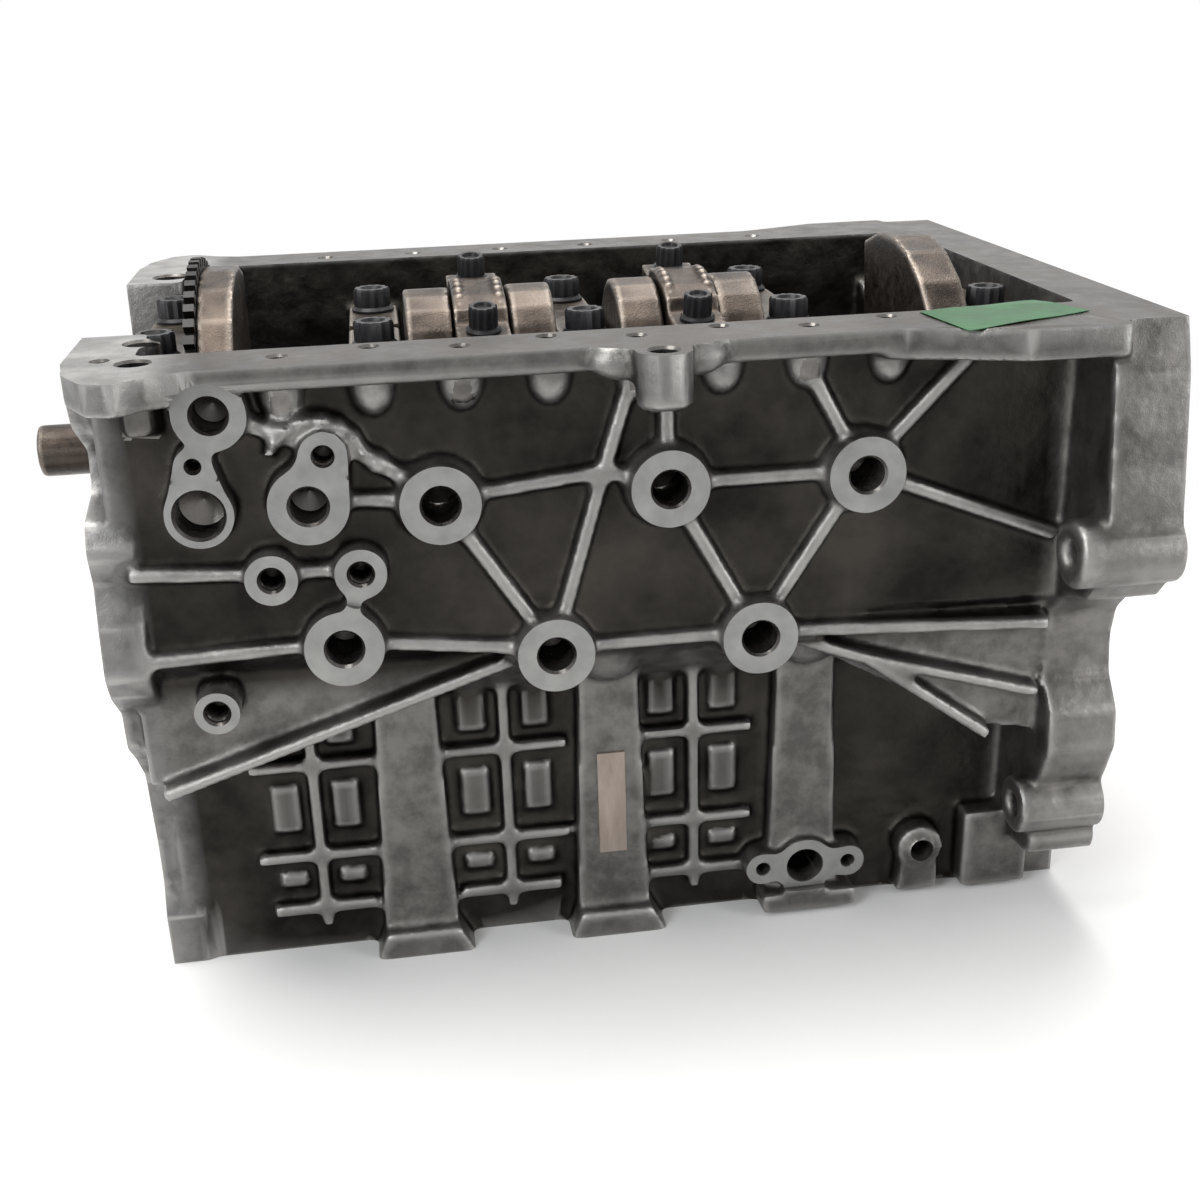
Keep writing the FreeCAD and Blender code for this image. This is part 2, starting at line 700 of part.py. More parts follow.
def cylinder_block():
    casting = fuse("casting", crankcase(), timing_flange(), gearbox_flange(), *(
        sump_rail_corners() + rail_ear() + bracket_ribs() + bracket_bosses() + skirt_wings()
        + columns() + bay_ribs() + outlet_flange() + gearbox_bolt_bosses()))
    tools = (case_cavity() + bearing_saddles() + cylinder_bores() + [water_jacket()] + bolt_holes()
             + rail_holes() + bracket_holes() + side_holes() + [film_relief()])
    above = box("above_rail", str(LONGEST), str(LONGEST), "50", (str(-LONGEST / 2), str(-LONGEST / 2), "rail_height"))
    return part("cylinder_block", cut("machined_block", casting, above, *tools))


def film_relief():
    return plate("film_relief", FILM, "film_thickness + 5", ("0", "0", FILM_SEAT))


# ---------------------------------------------------------------- block fittings

def main_caps():
    for n in MAINS:
        half = "cap_half_width"
        top = "crank_height + cap_height"
        outline = [
            ("-" + half, "crank_height"), (half, "crank_height"), (half, "crank_height + 24"),
            (half + " - 4", top), ("-%s + 4" % half, top), ("-" + half, "crank_height + 24"),
        ]
        body = plate("cap_body_%d" % n, outline, "cap_thickness", (MAIN_AT[n], "0", "0"), CROSS_SECTION, True)
        tools = [along_x("cap_bore_%d" % n, MAIN_BORE, "60", (MAIN_AT[n] + " - 30", "0", "crank_height"))]
        for side in (-1, 1):
            spot = (MAIN_AT[n], "%d * cap_bolt_spread" % side, "crank_height - 5")
            tools.append(facetted("cap_bolt_hole_%d_%d" % (n, side), "cap_bolt_radius + side_gap", "80", spot))
        part("main_cap_%d" % n, cut("cap_%d" % n, body, *tools))


def main_cap_bolts():
    bolts = []
    for n in MAINS:
        for side in (-1, 1):
            spot = (MAIN_AT[n], "%d * cap_bolt_spread" % side, "crank_height + cap_height")
            bolts.append(flanged_bolt(
                "cap_bolt_%d_%d" % (n, side), "cap_bolt_radius", "cap_height + 52", "bolt_flange_radius",
                "bolt_head_radius", "bolt_head_height", "bolt_flange_height", spot))
    part("main_cap_bolts", fuse("cap_bolts", *bolts))


def rail_film():
    """A thin protective film on the rail's rear corner, flush, so that the sump's face stays flat."""
    part("rail_film", plate("film", FILM, "film_thickness", ("0", "0", FILM_SEAT + " + split_gap / 2")))


# ---------------------------------------------------------------- crankshaft

def web_outline(counterweight):
    """Corners of a crank web in its own frame, pin upwards; the counterweight is a sector below."""
    points = [("web_radius * 0.9", "crank_throw"), ("web_radius * 1.05", "0")]
    if counterweight:
        for share in (1.0, 0.75, 0.5, 0.25, 0.0, -0.25, -0.5, -0.75, -1.0):
            angle = "counterweight_angle * %s" % share
            points.append(("counterweight_radius * sin(%s)" % angle, "-counterweight_radius * cos(%s)" % angle))
    else:
        points += [("web_radius * 0.8", "-web_radius * 0.8"), ("-web_radius * 0.8", "-web_radius * 0.8")]
    points += [("-web_radius * 1.05", "0"), ("-web_radius * 0.9", "crank_throw")]
    return points


def crank_web(name, start, thickness, upwards, counterweight):
    """One web: a plate whose pin end is round, in the crankshaft's own frame at angle zero."""
    sign = 1 if upwards else -1
    corners = [("%d * (%s)" % (sign, y), "%d * (%s)" % (sign, z)) for y, z in web_outline(counterweight)]
    return [
        section(name, corners, start, thickness),
        facetted(name + "_pin_end", "web_radius * 0.9", thickness,
                 (start, "0", "%d * crank_throw" % sign), 20, ALONG_X),
    ]


def crankshaft():
    """Journals, pins and webs along X about the origin, then turned and lifted to its bearings."""
    pieces = []
    for n in MAINS:
        start = "%s - journal_length / 2" % MAIN_AT[n]
        pieces.append(along_x("journal_%d" % n, "journal_radius", "journal_length", (start, "0", "0")))
    for n in CYLINDERS:
        upwards = n in (2, 3)
        side = "1" if upwards else "-1"
        middle = CYLINDER_AT[n]
        pieces.append(along_x("crankpin_%d" % n, "pin_radius", "pin_length + 1",
                              ("%s - pin_length / 2 - 0.5" % middle, "0", side + " * crank_throw")))
        first = "%s - pin_length / 2 - %s" % (middle, WEB_THICKNESS)
        first_length = WEB_THICKNESS
        if n == 1:
            first += " + wheel_thickness"
            first_length += " - wheel_thickness"
        pieces += crank_web("web_%d_front" % n, first, first_length, upwards, n in (1, 3))
        pieces += crank_web("web_%d_rear" % n, "%s + pin_length / 2" % middle, WEB_THICKNESS, upwards, n in (2, 4))
    front = "-2 * bore_pitch - journal_length / 2"
    rear = "2 * bore_pitch + journal_length / 2"
    pieces.append(along_x("wheel_seat", "journal_radius + 4", "wheel_thickness", ("-2 * bore_pitch + journal_length / 2", "0", "0")))
    pieces.append(along_x("nose", "nose_radius", "nose_end + (%s)" % front, ("-nose_end", "0", "0")))
    pieces.append(along_x("crank_flange", "crank_flange_radius", "crank_flange_end - (%s)" % rear, (rear, "0", "0")))
    solid = fuse("crank_solid", *pieces)
    tools = [along_x("pilot_bore", "10", "20", ("crank_flange_end - 14", "0", "0"))]
    for i in range(6):
        spot = ("crank_flange_end - 14", "flywheel_bolt_circle * cos(%d)" % (60 * i),
                "flywheel_bolt_circle * sin(%d)" % (60 * i))
        tools.append(along_x("flywheel_hole_%d" % i, "flywheel_bolt_radius", "20", spot))
    item = cut("crank", solid, *tools)
    part("crankshaft", turn_with_crank(item))


def turn_with_crank(item):
    """Lifts a piece of the crankshaft to its axis and turns it to the crank's angle."""
    return place(item, ("0", "0", "crank_height"), FreeCAD.Rotation(X_AXIS, 1), "crank_angle")


def trigger_wheel():
    """The toothed speed wheel on the first web; two teeth are missing to mark the angle."""
    start = "-2 * bore_pitch + journal_length / 2"
    body = doc.addObject("PartDesign::Body", "wheel_body")
    plane = [f for f in body.Origin.OriginFeatures if f.Role == "XY_Plane"][0]
    sketch = body.newObject("Sketcher::SketchObject", "wheel_disc")
    sketch.AttachmentSupport = [(plane, "")]
    sketch.MapMode = "FlatFace"
    add_circle(sketch, "wheel_radius")
    add_circle(sketch, "journal_radius + 4 + oil_gap")
    pad = body.newObject("PartDesign::Pad", "wheel_pad")
    pad.Profile = sketch
    bind(pad, Length="wheel_thickness - 0.2")
    doc.recompute()
    gap = body.newObject("Sketcher::SketchObject", "tooth_gap")
    gap.AttachmentSupport = [(plane, "")]
    gap.MapMode = "FlatFace"
    half = "wheel_radius * sin(90 / wheel_teeth)"
    root = "wheel_radius - tooth_depth"
    add_outline(gap, [("-" + half, root), (half, root), (half, "wheel_radius + 2"), ("-" + half, "wheel_radius + 2")])
    pocket = body.newObject("PartDesign::Pocket", "tooth_pocket")
    pocket.Profile = gap
    pocket.Type = "ThroughAll"
    pocket.Midplane = True
    doc.recompute()
    pattern = body.newObject("PartDesign::PolarPattern", "tooth_gaps")
    pattern.Originals = [pocket]
    pattern.Axis = (sketch, ["N_Axis"])
    pattern.Angle = 360
    bind(pattern, Occurrences="wheel_teeth")
    body.Tip = pattern
    doc.recompute()
    turn = FreeCAD.Rotation(Y_AXIS, 90)
    place(body, (start + " + 0.1", "0", "crank_height"), turn)
    part("trigger_wheel", body)


# ---------------------------------------------------------------- rods

def rod_frame(item, cylinder):
    """Moves a rod's piece from its own frame, big end at the origin and shank down, to its crankpin."""
    across, up = pin_place(cylinder)
    turn = FreeCAD.Rotation(X_AXIS, 1)
    return place(item, (CYLINDER_AT[cylinder], across, up), turn, rod_lean(cylinder))


def mirrored(half):
    """A whole outline from its +Y half."""
    return list(half) + [("-(%s)" % y, z) for y, z in reversed(half)]


def rod_holes(name):
    pieces = [along_x(name + "_bore", ROD_BORE, "60", ("-30", "0", "0"))]
    for side in (-1, 1):
        spot = ("0", "%d * rod_bolt_spread" % side, "-rod_bolt_length")
        pieces.append(facetted("%s_bolt_%d" % (name, side), "rod_bolt_radius + 0.1", "2 * rod_bolt_length", spot))
    return pieces


def rod_half(name):
    """The rod in its own frame: half a big end, an I-section beam and the small-end eye."""
    ear = "rod_bolt_spread + rod_flange_radius + 0.3"
    fork = mirrored([(ear, "-split_gap"), (ear, "-12"), ("rod_bolt_spread", "-24"), ("18", "-rod_shoulder")])
    shank = mirrored([("18", "-rod_shoulder + 4"), ("18", "-rod_shoulder"), ("rod_shank_width / 2", "-50"),
                      ("rod_shank_width / 2 - 4", "-rod_length + 10")])
    panel = mirrored([("rod_shank_width / 2 - 3", "-40"), ("rod_shank_width / 2 - 7", "-rod_length + 24")])
    pieces = [
        plate(name + "_fork", fork, "rod_width", ("0", "0", "0"), CROSS_SECTION, True),
        plate(name + "_beam", shank, "rod_width - 7", ("0", "0", "0"), CROSS_SECTION, True),
        along_x(name + "_eye", "small_end_radius", "rod_width", ("-rod_width / 2", "0", "-rod_length")),
    ]
    tools = rod_holes(name + "_low")
    for side, start in ((-1, "-rod_width / 2 - 10"), (1, "rod_web_thickness / 2")):
        depth = "rod_width / 2 - rod_web_thickness / 2 + 10"
        tools.append(section("%s_panel_%d" % (name, side), panel, start, depth))
    tools.append(along_x(name + "_eye_bore", "piston_pin_radius + open_pivot_gap", "60", ("-30", "0", "-rod_length")))
    return cut(name, fuse(name + "_body", *pieces), *tools)


def rod_cap(name):
    """The big end's cap: an arch between two flat bolt seats."""
    outline = mirrored([
        ("rod_bolt_spread + rod_flange_radius + 0.3", "split_gap"),
        ("rod_bolt_spread + rod_flange_radius + 0.3", "rod_bolt_seat"),
        ("rod_bolt_spread - rod_flange_radius - 0.3", "rod_bolt_seat"),
        ("big_end_radius * 0.6", "big_end_radius * 0.92"), ("big_end_radius * 0.3", "big_end_radius"),
    ])
    arch = plate(name + "_arch", outline, "rod_width", ("0", "0", "0"), CROSS_SECTION, True)
    return cut(name, arch, *rod_holes(name))


def connecting_rods():
    for n in CYLINDERS:
        part("con_rod_%d" % n, rod_frame(rod_half("rod_%d" % n), n))
        part("rod_cap_%d" % n, rod_frame(rod_cap("cap_%d_of_rod" % n), n))
        bolts = []
        for side in (-1, 1):
            spot = ("0", "%d * rod_bolt_spread" % side, "rod_bolt_seat")
            bolts.append(flanged_bolt(
                "rod_%d_bolt_%d" % (n, side), "rod_bolt_radius", "rod_bolt_seat + 20", "rod_flange_radius",
                "rod_head_radius", "rod_head_height", "2.2", spot))
        part("rod_bolts_%d" % n, rod_frame(fuse("rod_%d_bolts" % n, *bolts), n))


# ---------------------------------------------------------------- pistons

def pistons():
    """Each piston carries its rings, flush, and its pin, which passes through the rod's eye with room to turn."""
    radius = "(bore_radius - oil_gap)"
    boss_top = "piston_pin_radius + 5"
    for n in CYLINDERS:
        name = "piston_%d" % n
        hollow = "crown_thickness - crown_height"
        body = rod(name + "_body", radius, "crown_height + skirt_length", ("0", "0", "-crown_height"))
        inside = facetted(name + "_inside", "bore_radius - 5", "80", ("0", "0", hollow), 16)
        bosses = box(name + "_bosses", "2 * bore_radius - 8", "2 * (%s)" % boss_top, "crown_height + %s - 4" % boss_top,
                     ("4 - bore_radius", "-(%s)" % boss_top, "4 - crown_height"))
        gap = box(name + "_gap", "rod_width + 3", "60", "90", ("-rod_width / 2 - 1.5", "-30", hollow))
        posts = cut(name + "_posts", bosses, gap)
        pin = facetted(name + "_pin", "piston_pin_radius", "piston_pin_length",
                       ("-piston_pin_length / 2", "0", "0"), 20, ALONG_X, inside=True)
        at = (CYLINDER_AT[n], "0", wrist_height(n))
        part(name, place(fuse(name + "_whole", cut(name + "_cup", body, inside), posts, pin), at))


# ---------------------------------------------------------------- build

def check_and_export():
    doc.recompute()
    for item in doc.Objects:
        if "Invalid" in item.State or "Error" in item.State:
            raise RuntimeError("%s did not recompute: %s" % (item.Label, item.State))
    for item in PARTS:
        if item.Shape.isNull() or not item.Shape.isValid():
            raise RuntimeError("%s has no valid shape" % item.Label)
    os.makedirs("parts", exist_ok=True)
    for item in PARTS:
        item.Shape.exportStep("parts/%s.step" % item.Label)


cylinder_block()
main_caps()
main_cap_bolts()
rail_film()
crankshaft()
trigger_wheel()
connecting_rods()
pistons()
check_and_export()
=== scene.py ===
"""Looks of an engine short block that stands on its deck face.

Each operator makes one piece, or one group of like pieces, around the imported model.
"""

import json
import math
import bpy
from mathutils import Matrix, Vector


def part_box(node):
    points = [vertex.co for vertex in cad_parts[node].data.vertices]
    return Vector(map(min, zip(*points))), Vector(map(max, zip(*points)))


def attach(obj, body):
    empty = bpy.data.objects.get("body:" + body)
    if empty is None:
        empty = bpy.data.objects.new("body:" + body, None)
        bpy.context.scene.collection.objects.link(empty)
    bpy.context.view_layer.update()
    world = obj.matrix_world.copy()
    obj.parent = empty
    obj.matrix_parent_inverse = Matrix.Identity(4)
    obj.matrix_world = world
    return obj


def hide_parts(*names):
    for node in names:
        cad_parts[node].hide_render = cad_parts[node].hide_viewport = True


bl_info = {
    "name": "Short block looks",
    "version": (1, 0, 0),
    "blender": (4, 5, 0),
    "location": "3D View > Sidebar > Short block",
    "description": "Castings, bolts, crank train and stage of an engine short block",
    "category": "Object",
}

import bmesh
import bpy
import numpy as np
from mathutils import Matrix, Vector

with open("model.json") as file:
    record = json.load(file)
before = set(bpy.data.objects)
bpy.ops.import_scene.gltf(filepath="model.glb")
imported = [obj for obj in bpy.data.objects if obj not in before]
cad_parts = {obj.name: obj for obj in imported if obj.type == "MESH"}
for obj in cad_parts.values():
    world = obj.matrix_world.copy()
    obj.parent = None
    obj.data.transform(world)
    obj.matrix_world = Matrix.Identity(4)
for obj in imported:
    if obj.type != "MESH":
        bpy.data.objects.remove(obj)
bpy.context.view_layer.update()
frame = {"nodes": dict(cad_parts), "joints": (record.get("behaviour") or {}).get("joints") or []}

# Planes and sizes of the short block, in metres: X along the crankshaft, Z up from the deck.
MM = 0.001
DECK = 0.0
RAIL = 0.282
FRONT = -0.200
REAR = 0.215
BOSS_FACE = -0.1245
OUTLET_FACE = -0.084
DRAIN_FACE = -0.082
CRANK_HEIGHT = 0.222
MAIN_PITCH = 0.088
CYLINDER_BORE = 0.0413
MAIN_BORE = 0.0262
SEAL_BORE = 0.040
ROD_LENGTH = 0.145
CAP_BOLT_SPREAD = 0.0397
ROD_BOLT_SPREAD = 0.031
ROD_BOLT_SEAT = 0.0245
MAINS = (1, 2, 3, 4, 5)
CYLINDERS = (1, 2, 3, 4)

# Machined bosses of the bracket side: along the block, height, outer radius, hole radius, hole depth, in mm.
# The first six carry the brackets.
BRACKET = (
    (-68.1, 223.4, 15.5, 7.0, 27), (19.9, 223.4, 15.5, 7.0, 27), (98.1, 223.4, 15.5, 7.0, 27),
    (-108.7, 168.5, 15.5, 7.0, 27), (-26.7, 158.2, 15.5, 7.0, 27), (55.9, 158.2, 15.5, 7.0, 27),
    (-148.7, 263.4, 13.5, 6.4, 17), (-133.3, 198.8, 10.1, 4.4, 17), (-99.9, 198.6, 10.1, 4.4, 17),
    (-159.4, 146.1, 8.9, 4.4, 17), (-156.5, 226.2, 12.8, 9.0, 17), (-116.8, 226.8, 15.2, 7.0, 17),
)
EAR_TOPS = ((-156.5, 245.0, 7.0, 2.6, 14), (-109.8, 245.6, 9.0, 3.8, 14))
# Holes of the outlet and the drain: along the block, height, radius, depth, in mm.
OUTLET_HOLES = ((88.3, 24.7, 8.2, 26), (68.6, 25, 3, 12), (108.6, 25, 3, 12))
DRAIN_HOLE = (144.4, 26, 5, 18)
# Holes in the sump rail: along, across, radius, depth, in mm: eight near, six far, then the wide ones.
EAR_HOLE = (14.1, -144.5, 5.5, 39)
RAIL_HOLES = tuple(
    [(-123 + 66 * i, -117, 3.4, 16) for i in range(4)]
    + [(-90 + 66 * i, -109, 3.4, 16) for i in range(4)]
    + [(44 * (i - 2.5), 115.5, 3.4, 16) for i in range(6)]
    + [(-181.7, 78.8, 8.0, 23), (-175.3, -78.5, 6.5, 23), (-173.8, -114.8, 6.0, 23),
       (-186.5, -107.5, 3.0, 15), EAR_HOLE]
)


# ---------------------------------------------------------------- mesh helpers

def merged_copy(node):
    """The CAD node's mesh as one connected surface, in a bmesh of its own."""
    bm = bmesh.new()
    bm.from_mesh(frame["nodes"][node].data)
    bmesh.ops.remove_doubles(bm, verts=bm.verts, dist=1e-6)
    return bm


def to_object(bm, name):
    """Turns a bmesh into an object of the scene, and frees it."""
    mesh = bpy.data.meshes.new(name)
    bm.to_mesh(mesh)
    bm.free()
    item = bpy.data.objects.new(name, mesh)
    bpy.context.scene.collection.objects.link(item)
    return item


def settle(item):
    """Applies an object's modifiers to its mesh."""
    graph = bpy.context.evaluated_depsgraph_get()
    finished = bpy.data.meshes.new_from_object(item.evaluated_get(graph))
    item.modifiers.clear()
    old = item.data
    item.data = finished
    bpy.data.meshes.remove(old)
    finished.name = item.name


def discard(*items):
    """Removes helper objects with their meshes."""
    for item in items:
        mesh = item.data
        bpy.data.objects.remove(item)
        bpy.data.meshes.remove(mesh)


def lathe(bm, profile, origin, axis, segments=32):
    """Adds a closed turned solid; its profile is (radius, distance along the axis), pole to pole."""
    turn = Vector((0, 0, 1)).rotation_difference(Vector(axis)).to_matrix().to_4x4()
    place = Matrix.Translation(origin) @ turn
    first = bm.verts.new(place @ Vector((0, 0, profile[0][1])))
    last = bm.verts.new(place @ Vector((0, 0, profile[-1][1])))
    rings = []
    for radius, height in profile:
        angles = [2 * math.pi * i / segments for i in range(segments)]
        rings.append([bm.verts.new(place @ Vector((radius * math.cos(a), radius * math.sin(a), height)))
                      for a in angles])
    for i in range(segments):
        j = (i + 1) % segments
        bm.faces.new((first, rings[0][j], rings[0][i]))
        bm.faces.new((last, rings[-1][i], rings[-1][j]))
        for low, high in zip(rings, rings[1:]):
            bm.faces.new((low[i], low[j], high[j], high[i]))


def drum(bm, radius, length, origin, axis, segments=32):
    """Adds a round bar."""
    lathe(bm, [(radius, 0.0), (radius, length)], origin, axis, segments)


def block_of(bm, low, high):
    """Adds a box between two corners."""
    middle = (Vector(low) + Vector(high)) / 2
    size = Vector(high) - Vector(low)
    bmesh.ops.create_cube(bm, size=1.0, matrix=Matrix.Translation(middle) @ Matrix.Diagonal((*size, 1.0)))


def lump(bm, centre, radii):
    """Adds a rounded lump of the casting."""
    bmesh.ops.create_icosphere(bm, subdivisions=3, radius=1.0,
                               matrix=Matrix.Translation(centre) @ Matrix.Diagonal((*radii, 1.0)))


def pillow(bm, low, high, round_off):
    """Adds a box whose far face is smaller than its foot, as a drafted pad of a casting."""
    (x0, y0, z0), (x1, y1, z1) = low, high
    corners = [(x0, y1, z0), (x1, y1, z0), (x1, y1, z1), (x0, y1, z1)]
    top = [(x0 + round_off, y0, z0 + round_off), (x1 - round_off, y0, z0 + round_off),
           (x1 - round_off, y0, z1 - round_off), (x0 + round_off, y0, z1 - round_off)]
    verts = [bm.verts.new(c) for c in corners + top]
    for face in ((3, 2, 1, 0), (4, 5, 6, 7), (0, 1, 5, 4), (1, 2, 6, 5), (2, 3, 7, 6), (3, 0, 4, 7)):
        bm.faces.new([verts[i] for i in face])


def carve(item, cutter, operation="DIFFERENCE"):
    """Cuts one closed mesh by another and throws the cutter away."""
    closed = bmesh.new()
    closed.from_mesh(cutter.data)
    bmesh.ops.recalc_face_normals(closed, faces=closed.faces)
    closed.to_mesh(cutter.data)
    closed.free()
    knife = item.modifiers.new("Cut", "BOOLEAN")
    knife.operation = operation
    knife.solver = "MANIFOLD"
    knife.object = cutter
    settle(item)
    discard(cutter)
    if not item.data.polygons:
        raise RuntimeError("%s was lost in a cut" % item.name)


def soften(item, voxel, passes, triangles):
    """Remeshes an object evenly, rounds its edges as a casting's are, and thins its faces out."""
    even = item.modifiers.new("Even", "REMESH")
    even.mode = "VOXEL"
    even.voxel_size = voxel
    settle(item)
    if passes:
        relax = item.modifiers.new("Relax", "SMOOTH")
        relax.factor = 0.5
        relax.iterations = passes
        settle(item)
    count = 2 * len(item.data.polygons)
    if triangles < count:
        thin = item.modifiers.new("Thin", "DECIMATE")
        thin.ratio = triangles / count
        settle(item)


def shade(item, degrees=35.0):
    """Smooth shading, with edges sharper than an angle kept crisp."""
    item.data.shade_smooth()
    item.data.set_sharp_from_angle(angle=math.radians(degrees))


def dress(item, *materials):
    """Gives an object these materials, in the order of its faces' indices."""
    item.data.materials.clear()
    for material in materials:
        item.data.materials.append(material)


def stands_for(item, body, slot, *nodes):
    """Puts a finished piece on its body in place of CAD nodes."""
    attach(item, body)
    if nodes:
        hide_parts(*nodes)
    return item


# ---------------------------------------------------------------- materials

def new_material(name):
    """An empty node material with its surface shader."""
    material = bpy.data.materials.new(name)
    material.use_nodes = True
    tree = material.node_tree
    tree.nodes.clear()
    output = tree.nodes.new("ShaderNodeOutputMaterial")
    shader = tree.nodes.new("ShaderNodeBsdfPrincipled")
    tree.links.new(shader.outputs["BSDF"], output.inputs["Surface"])
    return material, tree, shader


def noise(tree, place, scale, detail=4.0, rough=0.55, stretch=None):
    """A noise texture in object space; stretch draws it out along an axis."""
    node = tree.nodes.new("ShaderNodeTexNoise")
    node.inputs["Scale"].default_value = scale
    node.inputs["Detail"].default_value = detail
    node.inputs["Roughness"].default_value = rough
    if stretch:
        mapping = tree.nodes.new("ShaderNodeMapping")
        mapping.inputs["Scale"].default_value = stretch
        tree.links.new(place, mapping.inputs["Vector"])
        place = mapping.outputs["Vector"]
    tree.links.new(place, node.inputs["Vector"])
    return node.outputs["Fac"]


def span(tree, value, low, high, to_low, to_high):
    """Maps a value from one range to another, kept within it."""
    node = tree.nodes.new("ShaderNodeMapRange")
    for key, number in (("From Min", low), ("From Max", high), ("To Min", to_low), ("To Max", to_high)):
        node.inputs[key].default_value = number
    tree.links.new(value, node.inputs["Value"])
    return node.outputs["Result"]


def blend(tree, factor, first, second):
    """Mixes two colours; each is a socket or a constant."""
    node = tree.nodes.new("ShaderNodeMix")
    node.data_type = "RGBA"
    tree.links.new(factor, node.inputs[0])
    for socket, colour in ((node.inputs[6], first), (node.inputs[7], second)):
        if isinstance(colour, bpy.types.NodeSocket):
            tree.links.new(colour, socket)
        else:
            socket.default_value = (*colour, 1.0)
    return node.outputs[2]


def bump(tree, height, strength, distance, below=None):
    """A bumped normal from a height, on top of another if one is given."""
    node = tree.nodes.new("ShaderNodeBump")
    node.inputs["Strength"].default_value = strength
    node.inputs["Distance"].default_value = distance
    tree.links.new(height, node.inputs["Height"])
    if below is not None:
        tree.links.new(below, node.inputs["Normal"])
    return node.outputs["Normal"]


def inside_span(tree, place, *limits):
    """A factor that is 1 where each named coordinate lies past its second limit, and 0 before its first."""
    axes = tree.nodes.new("ShaderNodeSeparateXYZ")
    tree.links.new(place, axes.inputs[0])
    total = None
    for axis, low, high in limits:
        part = span(tree, axes.outputs[axis], low, high, 0.0, 1.0)
        if total is not None:
            both = tree.nodes.new("ShaderNodeMath")
            both.operation = "MULTIPLY"
            tree.links.new(total, both.inputs[0])
            tree.links.new(part, both.inputs[1])
            part = both.outputs[0]
        total = part
    return total


def metal(name, dark, light, metallic, rough, grain=(900.0, 0.25, 0.0002), waves=(60.0, 0.3, 0.0008),
          edge=None, tooling=None, blotch=22.0, bright=(), specular=0.5):
    """A metal surface: mottled colour, uneven gloss, fine grain over soft unevenness, and painted highlights
    on its sharp edges.

    tooling is (stretch along the axes, strength): the fine parallel marks that a cutter leaves. Each entry of
    bright is (colour, limits): a lighter, mottled patch of the metal, set by its place on the block.
    """
    material, tree, shader = new_material(name)
    place = tree.nodes.new("ShaderNodeTexCoord").outputs["Object"]
    cloud = noise(tree, place, blotch, 6.0, 0.62)
    colour = blend(tree, span(tree, cloud, 0.34, 0.68, 0.0, 1.0), dark, light)
    shine = span(tree, noise(tree, place, blotch * 4.0, 3.0), 0.3, 0.7, rough[0], rough[1])
    normal = bump(tree, noise(tree, place, waves[0], 2.0), waves[1], waves[2])
    if tooling:
        marks = noise(tree, place, 1.0, 2.0, 0.6, tooling[0])
        normal = bump(tree, marks, tooling[1], 0.0002, normal)
        colour = blend(tree, span(tree, marks, 0.35, 0.65, 0.0, 0.35), colour, light)
    normal = bump(tree, noise(tree, place, grain[0], 3.0, 0.7), grain[1], grain[2], normal)
    # Lighter patches, each set by coordinate limits on the block.
    for tone, limits in bright:
        dimmer_tone = tuple(channel * 0.55 for channel in tone)
        patches = noise(tree, place, blotch * 3.0, 4.0, 0.65)
        tone = blend(tree, span(tree, patches, 0.36, 0.6, 0.0, 1.0), dimmer_tone, tone)
        colour = blend(tree, inside_span(tree, place, *limits), colour, tone)
    if edge:
        # Painted highlight: where Pointiness marks a sharp convex edge, the colour is lifted towards the edge
        # colour, in place of glints from the lamps.
        point = tree.nodes.new("ShaderNodeNewGeometry").outputs["Pointiness"]
        painted_highlight = span(tree, point, edge[0], edge[1], 0.0, 1.0)
        colour = blend(tree, painted_highlight, colour, edge[2])
    tree.links.new(colour, shader.inputs["Base Color"])
    tree.links.new(shine, shader.inputs["Roughness"])
    tree.links.new(normal, shader.inputs["Normal"])
    shader.inputs["Metallic"].default_value = metallic
    shader.inputs["Specular IOR Level"].default_value = specular
    return material


